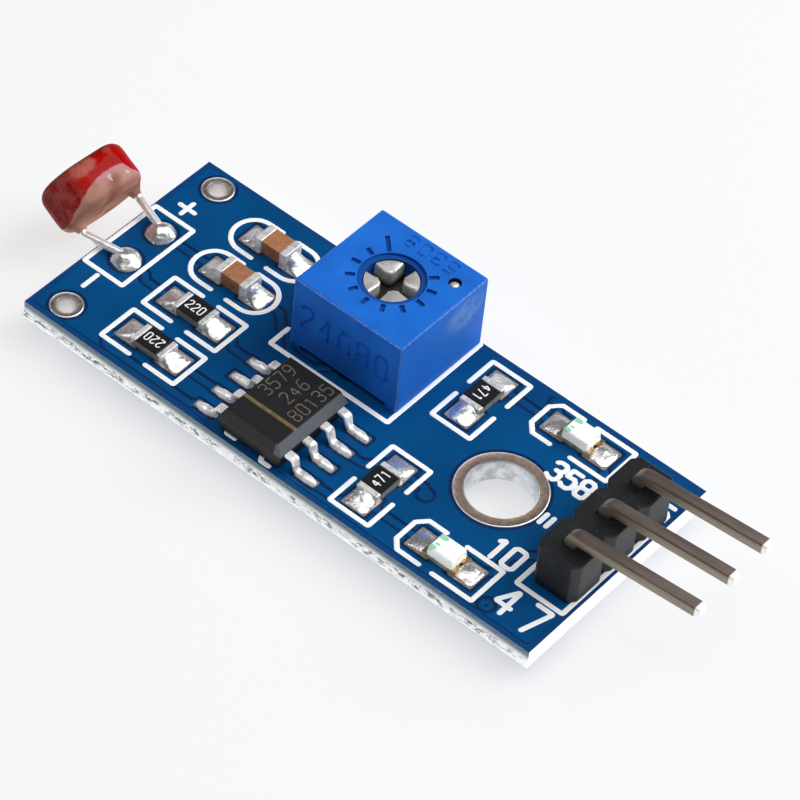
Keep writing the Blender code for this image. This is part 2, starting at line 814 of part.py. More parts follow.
def fillet(top, toe, inner, start=CHIP_PART_LENGTH / 2.0):
    # Solder from an end's face down to the far edge of its pad, seen from the side
    run = toe - start
    return [
        (inner, 0.0),
        (toe, 0.0),
        (toe, SOLDER_EDGE),
        (start + 0.55 * run, 0.18 * top),
        (start + 0.28 * run, 0.4 * top),
        (start + 0.09 * run, 0.72 * top),
        (start, top),
    ]


def end_cap(height, wrap, plate):
    # A terminal that wraps the end of a flat part, with its solder, seen from the side
    end = CHIP_PART_LENGTH / 2.0
    return [
        *fillet(0.9 * height, PAD_REACH, end - wrap),
        (end, height - 0.02),
        (end - 0.02, height),
        (end - wrap, height),
        (end - wrap, height - plate),
        (end - plate, height - plate),
        (end - plate, plate),
        (end - wrap, plate),
    ]


def place_part(name, pieces, looks, module, x, y, turn):
    for suffix, shape, look, extra in pieces:
        make_piece(f"{name}_{suffix}", shape, looks[look], module, (x, y, 0.0), turn + extra)


def build_resistor(name, looks, module, x, y, turn):
    half = CHIP_PART_WIDTH / 2.0
    core = CHIP_PART_LENGTH / 2.0 - END_PLATE
    coat = CHIP_PART_LENGTH / 2.0 - RESISTOR_WRAP - 0.02
    shelf = RESISTOR_HEIGHT - END_PLATE
    body = [
        (-core, END_PLATE),
        (core, END_PLATE),
        (core, shelf),
        (coat, shelf),
        (coat - 0.05, RESISTOR_HEIGHT + RESISTOR_COAT),
        (0.05 - coat, RESISTOR_HEIGHT + RESISTOR_COAT),
        (-coat, shelf),
        (-core, shelf),
    ]
    cap = end_cap(RESISTOR_HEIGHT, RESISTOR_WRAP, END_PLATE)
    pieces = [
        ("body", prism(body, -half, half, "Y"), "black_coat", 0.0),
        ("end_a", prism(cap, -half, half, "Y"), "tin", 180.0),
        ("end_b", prism(cap, -half, half, "Y"), "tin", 0.0),
    ]
    place_part(name, pieces, looks, module, x, y, turn)


def build_capacitor(name, looks, module, x, y):
    end, half = CHIP_PART_LENGTH / 2.0, CHIP_PART_WIDTH / 2.0
    core = (2.0 * (end - END_PLATE), 2.0 * (half - END_PLATE), END_PLATE, CAPACITOR_HEIGHT - END_PLATE)
    make_piece(f"{name}_body", box(*core), looks["capacitor"], module, (x, y, 0.0))
    for suffix, turn in (("end_a", 180.0), ("end_b", 0.0)):
        middle = end - CAPACITOR_WRAP / 2.0
        block = box(CAPACITOR_WRAP, CHIP_PART_WIDTH, 0.0, CAPACITOR_HEIGHT, x=middle)
        shell = bevelled(block, CAPACITOR_EDGE, 1, lambda edge: min(v.co.x for v in edge.verts) > middle)
        cap = make_piece(f"{name}_{suffix}", shell, looks["tin"], module, (x, y, 0.0), turn)
        toe = fillet(0.75 * CAPACITOR_HEIGHT, PAD_REACH, end - CAPACITOR_EDGE, end)
        toe.append((end - CAPACITOR_EDGE, 0.75 * CAPACITOR_HEIGHT))
        inset = half - CAPACITOR_EDGE
        combine(cap, prism(toe, -inset, inset, "Y"), "UNION", "solder")
        combine(cap, box(*core), name="core")


def build_led(name, looks, module, x, y):
    end, half = CHIP_PART_LENGTH / 2.0, CHIP_PART_WIDTH / 2.0
    core, shelf = end - LED_PLATE, LED_BASE_HEIGHT - LED_PLATE
    lens = LED_LENS_LENGTH / 2.0
    base_outline = [
        (-core, LED_PLATE),
        (core, LED_PLATE),
        (core, shelf),
        (lens + 0.03, shelf),
        (lens + 0.03, LED_BASE_HEIGHT),
        (-lens - 0.03, LED_BASE_HEIGHT),
        (-lens - 0.03, shelf),
        (-core, shelf),
    ]
    place = (x, y, 0.0)
    plate = prism(base_outline, -half, half, "Y")
    base = make_piece(f"{name}_base", plate, looks["led_base"], module, place)
    notches = [cylinder(LED_NOTCH_RADIUS, -0.5, 1.0, sign * end, 0.0, LED_NOTCH_STEPS) for sign in (-1, 1)]
    combine(base, merged(*notches), name="notches")
    top = LED_BASE_HEIGHT + LED_LENS_HEIGHT
    inset = LED_LENS_DRAFT
    rings = [
        rectangle_ring(LED_BASE_HEIGHT, lens, half),
        rectangle_ring(top - LED_LENS_EDGE, lens - 0.7 * inset, half - 0.3 * inset),
        rectangle_ring(top, lens - inset - LED_LENS_EDGE, half - LED_LENS_EDGE),
    ]
    make_piece(f"{name}_lens", loft(rings), looks["lens"], module, place)
    cap = end_cap(LED_BASE_HEIGHT, end - lens - 0.05, LED_PLATE)
    for suffix, turn in (("end_a", 180.0), ("end_b", 0.0)):
        shape = prism(cap, -half, half, "Y")
        terminal = make_piece(f"{name}_{suffix}", shape, looks["tin"], module, place, turn)
        # Its metal lines the base's notch.
        corner = 1.0 / cos(pi / LED_NOTCH_STEPS)
        liner = (LED_NOTCH_RADIUS - LED_PLATE, LED_NOTCH_RADIUS)
        lining = sector(liner[0] * corner * 0.8, liner[1] * corner, 0.0, LED_BASE_HEIGHT, 180.0, 90.0)
        bmesh.ops.translate(lining, vec=(end, 0.0, 0.0), verts=lining.verts)
        combine(terminal, lining, "UNION", "lining")
        combine(terminal, cylinder(liner[0], LED_NOTCH_FLOOR, 1.0, end, 0.0, LED_NOTCH_STEPS), name="notch")


def build_chip_parts(looks, module):
    rows = [COLUMN_Y + i * COLUMN_PITCH for i in range(4)]
    resistors = [(COLUMN_X, rows[0], 0.0), (COLUMN_X, rows[1], 0.0)]
    resistors += [(LOAD_X, -LOAD_Y, 90.0), (LOAD_X, LOAD_Y, 90.0)]
    for i, (x, y, turn) in enumerate(resistors):
        build_resistor(f"resistor_{i + 1}", looks, module, x, y, turn)
    for i, y in enumerate(rows[2:]):
        build_capacitor(f"capacitor_{i + 1}", looks, module, CAPACITOR_X, y)
    for i, sign in enumerate((-1, 1)):
        build_led(f"led_{i + 1}", looks, module, LED_X, sign * LED_Y)


def header_outline():
    # Three square ways in a row, pinched where they meet
    half, pinch = HEADER_WIDTH / 2.0, HEADER_WIDTH / 2.0 - HEADER_NOTCH
    right = []
    for i in range(HEADER_WAYS):
        low = (i - HEADER_WAYS / 2.0) * HEADER_PITCH
        high = low + HEADER_PITCH
        right += [
            (pinch, low),
            (half, low + HEADER_NOTCH_LENGTH),
            (half, high - HEADER_NOTCH_LENGTH),
        ]
    right.append((pinch, HEADER_WAYS / 2.0 * HEADER_PITCH))
    return right + [(-x, y) for x, y in reversed(right)]


def build_header(looks, module):
    place = (HEADER_X, HEADER_Y, 0.0)
    block = prism(header_outline(), 0.0, HEADER_HEIGHT)
    housing = make_piece("header_housing", block, looks["plastic"], module, place)
    hole = PIN_SIDE + 2.0 * FIT_GAP
    holes = [box(hole, hole, -1.0, HEADER_HEIGHT + 1.0, y=y - HEADER_Y) for x, y in header_pin_places()]
    combine(housing, merged(*holes), name="pin_holes")
    level = HEADER_HEIGHT + PIN_BEND + PIN_BEND_GAP
    for i, (x, y) in enumerate(header_pin_places()):
        reach = PIN_REACH - PIN_POINT
        rise = tan(radians(PIN_RISE))
        corners = [
            Vector((x, y, -BOARD_THICK - STUB_LENGTH)),
            Vector((x, y, level)),
            Vector((x + reach, y, level + reach * rise)),
        ]
        wire = swept(rounded_path(corners, PIN_BEND), square(PIN_SIDE), (0.0, 1.0, 0.0))
        shape_point(wire, x + PIN_REACH)
        pin = make_piece(f"header_pin_{i + 1}", wire, looks["tin"], module)
        joint = turned(joint_profile(PIN_HOLE_RADIUS, PIN_SIDE / 2.0, [(0.0, 0.0)]), SMALL_STEPS)
        bmesh.ops.translate(joint, vec=(x, y, 0.0), verts=joint.verts)
        combine(pin, joint, "UNION", "solder")


def shape_point(wire, tip):
    # Draws the end face out to the tip and narrows it, which leaves a small flat end.
    wire.faces.ensure_lookup_table()
    end = max(wire.faces, key=lambda face: face.calc_center_median().x if len(face.verts) == 4 else -1.0)
    made = bmesh.ops.extrude_discrete_faces(wire, faces=[end])["faces"][0]
    centre = made.calc_center_median()
    way = Vector((cos(radians(PIN_RISE)), 0.0, sin(radians(PIN_RISE))))
    step = (tip - centre.x) / way.x
    for vert in made.verts:
        vert.co = centre + way * step + (vert.co - centre) * PIN_POINT_SHARE


def make_looks():
    return {
        "mask": make_material("board_mask", (0.01, 0.08, 0.24), 0.35),
        "tin": make_material("tin", (0.72, 0.71, 0.69), 0.3, 1.0),
        "cell": make_material("cell_resin", (0.55, 0.12, 0.1), 0.25),
        "track": make_material("cell_track", (0.5, 0.1, 0.03), 0.5),
        "trimmer": make_material("trimmer_blue", (0.02, 0.14, 0.6), 0.45),
        "rotor": make_material("rotor_metal", (0.6, 0.6, 0.58), 0.35, 1.0),
        "brass": make_material("spring_brass", (0.75, 0.55, 0.25), 0.3, 1.0),
        "rubber": make_material("seal_rubber", (0.03, 0.03, 0.03), 0.7),
        "ceramic": make_material("ceramic", (0.85, 0.84, 0.8), 0.6),
        "chip": make_material("chip_epoxy", (0.03, 0.03, 0.03), 0.5),
        "black_coat": make_material("resistor_coat", (0.02, 0.02, 0.02), 0.4),
        "capacitor": make_material("capacitor_ceramic", (0.35, 0.17, 0.09), 0.5),
        "led_base": make_material("led_laminate", (0.8, 0.78, 0.7), 0.5),
        "lens": make_material("led_lens", (0.85, 0.9, 0.85), 0.2),
        "plastic": make_material("header_plastic", (0.015, 0.015, 0.015), 0.45),
    }


def main():
    clear_scene()
    looks = make_looks()
    middle = (lowest_x() + HEADER_X + PIN_REACH) / 2.0
    module = make_empty("module", None, (-middle, 0.0, BOARD_THICK + STUB_LENGTH))
    build_board(looks, module)
    build_plating(looks, module)
    build_cell(looks, module)
    build_trimmer(looks, module)
    build_chip(looks, module)
    build_chip_leads(looks, module)
    build_chip_parts(looks, module)
    build_header(looks, module)


main()
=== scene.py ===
# Light sensor module: print, solder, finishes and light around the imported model
import math

import bmesh
import bpy
from mathutils import Euler, Matrix, Vector, noise


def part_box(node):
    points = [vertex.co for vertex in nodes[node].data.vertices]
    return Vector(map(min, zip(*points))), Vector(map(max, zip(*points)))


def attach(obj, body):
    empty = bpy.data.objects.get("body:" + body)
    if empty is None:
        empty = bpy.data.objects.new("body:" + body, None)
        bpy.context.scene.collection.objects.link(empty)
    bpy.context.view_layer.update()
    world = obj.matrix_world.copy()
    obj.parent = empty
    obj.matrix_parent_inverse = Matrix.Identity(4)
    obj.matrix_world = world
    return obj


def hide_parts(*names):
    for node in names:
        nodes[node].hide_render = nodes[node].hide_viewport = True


# A fixed seed for the unevenness of solder and resin, so that every run gives the same shapes
noise.seed_set(1796062441)

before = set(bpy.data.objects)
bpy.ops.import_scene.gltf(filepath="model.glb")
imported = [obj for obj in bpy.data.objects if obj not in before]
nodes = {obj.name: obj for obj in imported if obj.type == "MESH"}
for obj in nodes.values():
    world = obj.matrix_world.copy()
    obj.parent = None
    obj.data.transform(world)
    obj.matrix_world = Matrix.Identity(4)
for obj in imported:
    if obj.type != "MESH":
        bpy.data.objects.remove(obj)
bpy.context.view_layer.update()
print("frame loaded:", len(nodes), "nodes")

# Places below are millimetres on the board: x from the cell's end, y across, z from its top face.
mm = 0.001
boardLow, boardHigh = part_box("circuit_board")
toFrame = Matrix.Translation((boardLow.x, 0.0, boardHigh.z)) @ Matrix.Scale(mm, 4)
board = {
    "length": (boardHigh.x - boardLow.x) / mm,
    "width": (boardHigh.y - boardLow.y) / mm,
    "thick": (boardHigh.z - boardLow.z) / mm,
    "pour": 0.03,  # copper under the mask
    "pad": 0.036,
}


def boardBox(node):
    # A node's corners in board millimetres
    back = toFrame.inverted()
    low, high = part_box(node)
    return back @ low, back @ high


class Value:
    # One shader socket; arithmetic on it adds Math nodes.
    def __init__(self, finish, socket):
        self.finish = finish
        self.socket = socket

    def maths(self, operation, *others):
        return self.finish.put("ShaderNodeMath", {"operation": operation}, dict(enumerate((self, *others))))

    def __add__(self, other):
        return self.maths("ADD", other)

    def __sub__(self, other):
        return self.maths("SUBTRACT", other)

    def __mul__(self, other):
        return self.maths("MULTIPLY", other)

    def __truediv__(self, other):
        return self.maths("DIVIDE", other)

    def __pow__(self, other):
        return self.maths("POWER", other)

    def __gt__(self, other):
        return self.maths("GREATER_THAN", other)

    def __lt__(self, other):
        return self.maths("LESS_THAN", other)

    def __abs__(self):
        return self.maths("ABSOLUTE")

    def __radd__(self, other):
        return self.maths("ADD", other)

    def __rmul__(self, other):
        return self.maths("MULTIPLY", other)

    def __rsub__(self, other):
        return self.finish.put("ShaderNodeMath", {"operation": "SUBTRACT"}, {0: other, 1: self})

    def most(self, other):
        return self.maths("MAXIMUM", other)

    def ramp(self, low, high):
        # 0 below low and 1 above high, with a smooth step between
        settings = {"interpolation_type": "SMOOTHSTEP"}
        return self.finish.put("ShaderNodeMapRange", settings, {0: self, 1: low, 2: high})


class Finish:
    # One material; its methods add nodes and return Values.
    def __init__(self, name, roughness=0.5, metallic=0.0, **shell):
        self.material = bpy.data.materials.new(name)
        self.material.use_nodes = True
        self.tree = self.material.node_tree
        self.shader = self.tree.nodes["Principled BSDF"]
        self.set("Roughness", roughness)
        self.set("Metallic", metallic)
        for label, value in shell.items():
            self.set(label.replace("_", " ").title().replace("Ior", "IOR"), value)

    def set(self, label, value):
        self.connect(self.shader.inputs[label], value)
        return self

    def connect(self, socket, value):
        if isinstance(value, Value):
            self.tree.links.new(value.socket, socket)
        elif socket.type == "RGBA" and len(value) == 3:
            socket.default_value = (*value, 1.0)
        else:
            socket.default_value = value

    def put(self, kind, settings=None, inputs=None, output=0):
        node = self.tree.nodes.new(kind)
        for label, value in (settings or {}).items():
            setattr(node, label, value)
        for label, value in (inputs or {}).items():
            self.connect(node.inputs[label], value)
        return Value(self, node.outputs[output])

    def place(self, matrix=toFrame):
        # Object coordinates on the axes that the matrix carries to the frame
        where, turn, size = matrix.decompose()
        inputs = {"Location": where, "Rotation": turn.to_euler(), "Scale": size}
        inputs["Vector"] = self.put("ShaderNodeTexCoord", output=3)
        return self.put("ShaderNodeMapping", {"vector_type": "TEXTURE"}, inputs)

    def split(self, vector):
        node = self.tree.nodes.new("ShaderNodeSeparateXYZ")
        self.connect(node.inputs[0], vector)
        return [Value(self, output) for output in node.outputs]

    def noise(self, vector, scale, detail=3.0, rough=0.5, stretch=None):
        if stretch:
            vector = self.put("ShaderNodeMapping", {}, {"Vector": vector, "Scale": stretch})
        inputs = {"Vector": vector, "Scale": scale, "Detail": detail, "Roughness": rough}
        return self.put("ShaderNodeTexNoise", {}, inputs)

    def mix(self, share, first, second):
        inputs = {"Factor": share, 6: first, 7: second}
        return self.put("ShaderNodeMix", {"data_type": "RGBA"}, inputs, output=2)

    def bump(self, height, strength, distance=0.02):
        inputs = {"Height": height, "Strength": strength, "Distance": distance * mm}
        return self.set("Normal", self.put("ShaderNodeBump", {}, inputs))


def linear(red, green, blue):
    # A colour as seen on a screen, from 0 to 255, to the values that shaders use
    def one(value):
        value = value / 255.0
        return value / 12.92 if value <= 0.04045 else ((value + 0.055) / 1.055) ** 2.4

    return (one(red), one(green), one(blue))


def pourFinish():
    # Mask over copper, a little brighter than over the bare laminate
    finish = Finish("pourMask", specular_ior_level=0.12)
    where = finish.place()
    cloud = finish.noise(where, 0.22, 2.0).ramp(0.3, 0.7)
    finish.set("Base Color", finish.mix(cloud, linear(0, 70, 122), linear(0, 80, 138)))
    grain = finish.noise(where, 9.0, 3.0) + finish.noise(where, 60.0, 2.0) * 0.25
    finish.set("Roughness", 0.3 + finish.noise(where, 2.0, 4.0) * 0.16)
    finish.bump(grain, 0.25, 0.012)
    return finish.material


def boardFinish():
    # Blue mask on both faces, and cut glass laminate round the edge, darker above on the long sides; below
    # that band the laminate has a painted glow
    look = {
        "mask": linear(2, 44, 90),
        "margin": linear(0, 66, 124),  # where no copper lies under the mask
        "resin": (0.56, 0.575, 0.58),
        "glass": (0.86, 0.87, 0.87),
        "upper": linear(92, 118, 132),
        "glow": (0.8, 0.81, 0.82),
        "reach": 0.3,  # how far the copper stays from the edge
    }
    finish = Finish("boardMask", specular_ior_level=0.35)
    where = finish.place()
    x, y, z = finish.split(where)
    across = abs(y)
    half, length, reach = board["width"] / 2.0, board["length"], look["reach"]
    inner = (z < -0.015) * (z > 0.015 - board["thick"])
    rim = (across > half - 0.01).most(x < 0.01).most(x > length - 0.01)
    edge = inner * rim
    near = across.ramp(half - reach - 0.06, half - reach)
    margin = near.most(1.0 - x.ramp(reach, reach + 0.06)).most(x.ramp(length - reach - 0.06, length - reach))
    mask = finish.mix(margin, look["mask"], look["margin"])
    fibres = finish.noise(where, 3.0, 5.0, 0.7, (1.0, 1.0, 4.0)).ramp(0.38, 0.62)
    laminate = finish.mix(fibres, look["resin"], look["glass"])
    upper = (1.0 - (0.0 - z).ramp(0.22, 0.68)) * (across > half - 0.01)
    laminate = finish.mix(upper * (0.75 + fibres * 0.25), laminate, look["upper"])
    finish.set("Base Color", finish.mix(edge, mask, laminate))
    # Painted glow on the laminate edge, left off the darker upper band
    finish.set("Emission Color", finish.mix(edge * (1.0 - upper), (0.0, 0.0, 0.0), look["glow"]))
    finish.set("Emission Strength", 0.42)
    finish.set("Roughness", 0.32 + edge * 0.4)
    finish.bump(finish.noise(where, 14.0, 4.0) * (0.15 + edge), 0.5, 0.05)
    return finish.material


def brokenFinish():
    # The snapped web of the laminate: white glass with a painted glow, and dark specks of painted shade for
    # the pits, which lie mostly along its middle
    look = {
        "white": (0.97, 0.975, 0.98),
        "grey": (0.85, 0.865, 0.87),
        "pit_shade": (0.16, 0.18, 0.2),
        "glow": (0.8, 0.81, 0.82),
        "middle": -0.72,
    }
    finish = Finish("snappedLaminate", roughness=0.75, specular_ior_level=0.3)
    where = finish.place()
    level = finish.split(where)[2]
    seam = 1.0 - abs(level - look["middle"]).ramp(0.04, 0.3)
    pits = finish.noise(where, 4.5, 5.0, 0.78, (0.55, 0.55, 1.9)).ramp(0.475, 0.56)
    pits = pits * finish.noise(where, 0.5, 3.0).ramp(0.3, 0.5) * (0.25 + seam * 0.75)
    grey = finish.noise(where, 1.1, 3.0).ramp(0.35, 0.7)
    pale = finish.mix(grey, look["white"], look["grey"])
    # Painted shade: dark specks stand for the shade in small pits
    finish.set("Base Color", finish.mix(pits, pale, look["pit_shade"]))
    # Painted glow, dimmed at the pits
    finish.set("Emission Color", finish.mix(pits, look["glow"], (0.1, 0.1, 0.1)))
    finish.set("Emission Strength", 0.48)
    finish.bump(finish.noise(where, 11.0, 5.0, 0.7), 0.9, 0.08)
    return finish.material


def inkFinish():
    # Print that is worn thin here and there, with a faint painted glow
    look = {"white": (0.95, 0.955, 0.96), "thin": (0.72, 0.77, 0.82)}
    finish = Finish("whiteInk", roughness=0.55, specular_ior_level=0.3)
    where = finish.place()
    wear = finish.noise(where, 5.0, 5.0, 0.65).ramp(0.62, 0.8)
    finish.set("Base Color", finish.mix(wear, look["white"], look["thin"]))
    # A faint painted glow in the ink's own white
    finish.set("Emission Color", look["white"]).set("Emission Strength", 0.09)
    finish.bump(finish.noise(where, 22.0, 3.0), 0.4, 0.015)
    return finish.material


solderLook = {
    "tone": (0.92, 0.91, 0.9),
    "stain": (0.36, 0.3, 0.25),
    "gloss": 0.2,  # roughness where it is smoothest
    "relief": 0.4,
    "metal": 0.9,
    # A painted glow, off unless changed
    "glow": 0.0,
    "clean": 0.52,  # how much stays free of stains
}


def solderFinish(name, **changes):
    # Tin with patches of burnt flux; changes are entries of solderLook, and a glow above 0 is a painted glow.
    look = {**solderLook, **changes}
    finish = Finish(name, metallic=look["metal"])
    where = finish.place()
    flux = finish.noise(where, 1.7, 4.0, 0.6).ramp(look["clean"], look["clean"] + 0.22)
    grain = finish.noise(where, 7.0, 4.0, 0.6)
    finish.set("Base Color", finish.mix(flux * 0.75, look["tone"], look["stain"]))
    finish.set("Roughness", look["gloss"] + grain * 0.14 + flux * 0.22)
    finish.set("Emission Color", look["tone"]).set("Emission Strength", look["glow"])
    finish.bump(finish.noise(where, 3.4, 3.0, 0.5) + grain * 0.2, look["relief"], 0.09)
    return finish.material


def awayFrom(x, y, centre):
    return ((x - centre[0]) ** 2.0 + (y - centre[1]) ** 2.0) ** 0.5


def ringFinish():
    # Tinned copper, brown on its flat face and bright at its lips and in the hole; the bright lips are a
    # painted highlight
    look = {
        "bright": (0.88, 0.88, 0.87),
        "dull": (0.32, 0.235, 0.185),
        "worn": (0.455, 0.355, 0.29),
        "barrel": (0.66, 0.68, 0.7),
        "smudge": (0.4, 0.41, 0.41),
        "bore": 1.74,
        "flat": (1.79, 2.31),
    }
    finish = Finish("agedTin", metallic=1.0)
    where = finish.place()
    x, y, z = finish.split(where)
    away = awayFrom(x, y, parts["mountHole"])
    inner, outer = look["flat"]
    flat = away.ramp(inner, inner + 0.06) * (1.0 - away.ramp(outer - 0.06, outer)) * z.ramp(-0.02, 0.02)
    below = 1.0 - z.ramp(-board["thick"] - 0.02, -board["thick"] + 0.02)
    mottled = finish.noise(where, 5.0, 5.0, 0.7)
    dull = finish.mix(mottled.ramp(0.35, 0.65), look["dull"], look["worn"])
    # The lips keep the bright colour as a painted highlight
    colour = finish.mix(flat.most(below * 0.6), look["bright"], dull)
    barrel = (1.0 - away.ramp(look["bore"], look["bore"] + 0.03)) * (1.0 - z.ramp(-0.06, 0.02))
    smudge = finish.noise(where, 1.4, 5.0, 0.7).ramp(0.4, 0.62)
    finish.set("Base Color", finish.mix(barrel, colour, finish.mix(smudge, look["barrel"], look["smudge"])))
    finish.set("Roughness", 0.26 + flat * 0.14 + mottled * 0.16)
    finish.bump(finish.noise(where, 16.0, 5.0, 0.7), 0.5, 0.03)
    return finish.material


def eyeletFinish():
    # Brown flat, with bright lips round it, a painted highlight, and a bright hole
    look = {
        "bright": (0.78, 0.75, 0.72),
        "dark": (0.42, 0.33, 0.27),
        "worn": (0.66, 0.6, 0.54),
        "flat": (0.57, 0.79),
    }
    finish = Finish("eyeletTin", metallic=0.85)
    where = finish.place()
    x, y, z = finish.split(where)
    inner, outer = look["flat"]
    away = awayFrom(x, abs(y), parts["corners"][1])
    flat = away.ramp(inner, inner + 0.05) * (1.0 - away.ramp(outer - 0.04, outer))
    mottled = finish.noise(where, 4.0, 5.0, 0.7)
    brown = finish.mix(mottled.ramp(0.38, 0.62), look["dark"], look["worn"])
    # Bright lips: a painted highlight
    finish.set("Base Color", finish.mix(flat, look["bright"], brown))
    finish.set("Roughness", 0.2 + mottled * 0.2)
    finish.bump(mottled, 0.4, 0.04)
    return finish.material


def pinFinish(knee, slope):
    # Drawn wire: brownish tin with streaks along it, painted darker on top and paler at its sides as light
    # falls on it, and a bright cut end
    look = {
        "sides": ((0.258, 0.222, 0.173), (0.345, 0.303, 0.24)),
        "brown": ((0.136, 0.104, 0.09), (0.184, 0.144, 0.124)),
        "cut": (0.95, 0.93, 0.92),
        "top": (0.14, 0.3),  # heights over the wire's middle between which it turns brown
    }
    end = boardBox("header_pin_1")[1].x
    finish = Finish("pinTin", metallic=0.75)
    where = finish.place()
    x, y, z = finish.split(where)
    cut = x.ramp(end - 0.3, end - 0.2)
    streak = finish.noise(where, 2.0, 3.0, 0.5, (0.15, 2.0, 2.0))
    sides = finish.mix(streak.ramp(0.3, 0.7), *look["sides"])
    brown = finish.mix(streak.ramp(0.3, 0.7), *look["brown"])
    # Painted light: the top is darker and the sides paler
    level = z - (x - parts["headerPins"][0][0]) * slope - knee
    tone = finish.mix(level.ramp(*look["top"]), sides, brown)
    finish.set("Base Color", finish.mix(cut, tone, look["cut"]))
    finish.set("Roughness", 0.5 + streak * 0.15)
    finish.bump(streak, 0.15, 0.03)
    return finish.material


def trimmerFinish():
    # Matt blue moulding: cloudy and finely grained, pale along its edges from wear and a painted highlight,
    # with painted shade on its +X face, in its sunk marks and in the post's hole
    look = {
        "blue": (linear(10, 102, 206), linear(20, 116, 222)),
        "dust": linear(96, 140, 196),
        "right": linear(4, 84, 150),
        "rubbed": linear(130, 168, 205),
        "edge": linear(150, 168, 190),
        "sunk": linear(2, 50, 120),
        "hole": (0.004, 0.006, 0.01),
        "dial": 3.0,
    }
    low, high = boardBox("trimmer_housing")
    centre, half = (low + high) / 2.0, (high - low) / 2.0
    finish = Finish("trimmerBlue", specular_ior_level=0.25)
    where = finish.place()
    x, y, z = finish.split(where)
    near = [
        abs(x - centre.x).ramp(half.x - 0.1, half.x - 0.02),
        abs(y - centre.y).ramp(half.y - 0.1, half.y - 0.02),
        z.ramp(high.z - 0.1, high.z - 0.02),
    ]
    edges = (near[0] * near[1]).most(near[1] * near[2]).most(near[0] * near[2])
    cloud = finish.noise(where, 0.5, 4.0, 0.6).ramp(0.3, 0.75)
    dust = finish.noise(where, 2.4, 6.0, 0.75).ramp(0.6, 0.82)
    wear_and_highlight = finish.noise(where, 6.0, 5.0, 0.8).ramp(0.38, 0.62)
    colour = finish.mix(cloud, *look["blue"])
    colour = finish.mix(dust * 0.25, colour, look["dust"])
    # Painted shade: the +X face is a little darker
    right = x.ramp(high.x - 0.03, high.x - 0.01)
    colour = finish.mix(right * 0.12, colour, look["right"])
    # A rubbed patch on the side toward the header
    rub = ((y - centre.y - 1.5) / 1.5) ** 2.0 + ((z - 3.3) / 1.0) ** 2.0
    rubbed = (1.0 - rub.ramp(0.2, 1.3)) * right * finish.noise(where, 1.8, 6.0, 0.7).ramp(0.3, 0.62)
    colour = finish.mix(rubbed * 0.4, colour, look["rubbed"])
    # The pale edges are partly wear and partly a painted highlight
    colour = finish.mix(edges * wear_and_highlight * 0.9, colour, look["edge"])
    # Painted shade: sunk ticks, dial and marks are darker, and the post's hole is nearly black.
    dial = 1.0 - awayFrom(x, y, centre).ramp(look["dial"] - 0.05, look["dial"])
    sunk = (1.0 - z.ramp(high.z - 0.1, high.z - 0.03)) * dial * z.ramp(3.6, 3.8)
    colour = finish.mix(sunk * 0.7, colour, look["sunk"])
    post = 1.0 - awayFrom(x, y, parts["trimmerPins"][2]).ramp(0.4, 0.44)
    hole = post * (1.0 - z.ramp(high.z - 0.08, high.z - 0.02))
    finish.set("Base Color", finish.mix(hole, colour, look["hole"]))
    finish.set("Roughness", 0.55 + cloud * 0.12)
    finish.bump(finish.noise(where, 26.0, 4.0, 0.6) + dust * 0.5, 0.45, 0.02)
    return finish.material


def rotorFinish():
    # Plated metal, with painted shade that darkens it towards the bottom of the slot
    look = {
        "bright": ((0.72, 0.69, 0.63), (0.93, 0.92, 0.88)),
        "dark": (0.05, 0.042, 0.036),
        "shade_depths": (0.95, 0.45),
    }
    finish = Finish("rotorMetal", metallic=0.7)
    where = finish.place()
    smear = finish.noise(where, 1.6, 4.0, 0.6)
    z = finish.split(where)[2]
    lower, upper = (boardBox("trimmer_rotor")[1].z - depth for depth in look["shade_depths"])
    bright = finish.mix(smear.ramp(0.3, 0.7), *look["bright"])
    # Painted shade in the slot
    finish.set("Base Color", finish.mix(z.ramp(lower, upper), look["dark"], bright))
    finish.set("Roughness", 0.32 + smear * 0.16)
    finish.bump(finish.noise(where, 12.0, 4.0), 0.25, 0.02)
    return finish.material


def chipFinish():
    # Moulded epoxy with fine pale specks, the printed band that marks the first pin's end, and a painted
    # reflection that makes the upper part of its +X side grey
    look = {"black": linear(11, 10, 11), "speck": linear(58, 54, 52), "bevel": linear(116, 122, 130)}
    band = {"place": -4.97, "half": 0.11, "gold": linear(126, 104, 68)}
    high = boardBox("comparator_body")[1]
    finish = Finish("chipEpoxy", specular_ior_level=0.4)
    where = finish.place()
    x, y, z = finish.split(where)
    grain = finish.noise(where, 30.0, 4.0, 0.7)
    speck = finish.noise(where, 14.0, 5.0, 0.8).ramp(0.6, 0.78)
    base = finish.mix(speck * 0.6, look["black"], look["speck"])
    top = z.ramp(high.z - 0.06, high.z - 0.03)
    stripe = (1.0 - abs(y - band["place"]).ramp(band["half"] - 0.03, band["half"] + 0.02)) * top
    patchy = finish.noise(where, 3.0, 5.0, 0.7).ramp(0.3, 0.6)
    colour = finish.mix(stripe * (0.45 + patchy * 0.55), base, band["gold"])
    # Painted reflection of the floor: the upper part of the +X side is paler grey
    bevel = (1.0 - top) * z.ramp(high.z - 0.7, high.z - 0.6) * x.ramp(high.x - 0.5, high.x - 0.4)
    finish.set("Base Color", finish.mix(bevel * 0.6, colour, look["bevel"]))
    finish.set("Roughness", 0.5 + grain * 0.2)
    finish.bump(grain + speck, 0.5, 0.02)
    return finish.material


def laserFinish():
    # Marks burnt into the epoxy
    finish = Finish("laserMark", roughness=0.8, specular_ior_level=0.2)
    where = finish.place()
    broken = finish.noise(where, 9.0, 5.0, 0.8).ramp(0.35, 0.65)
    finish.set("Base Color", finish.mix(broken, linear(78, 72, 66), linear(132, 122, 108)))
    finish.bump(broken, 0.4, 0.01)
    return finish.material


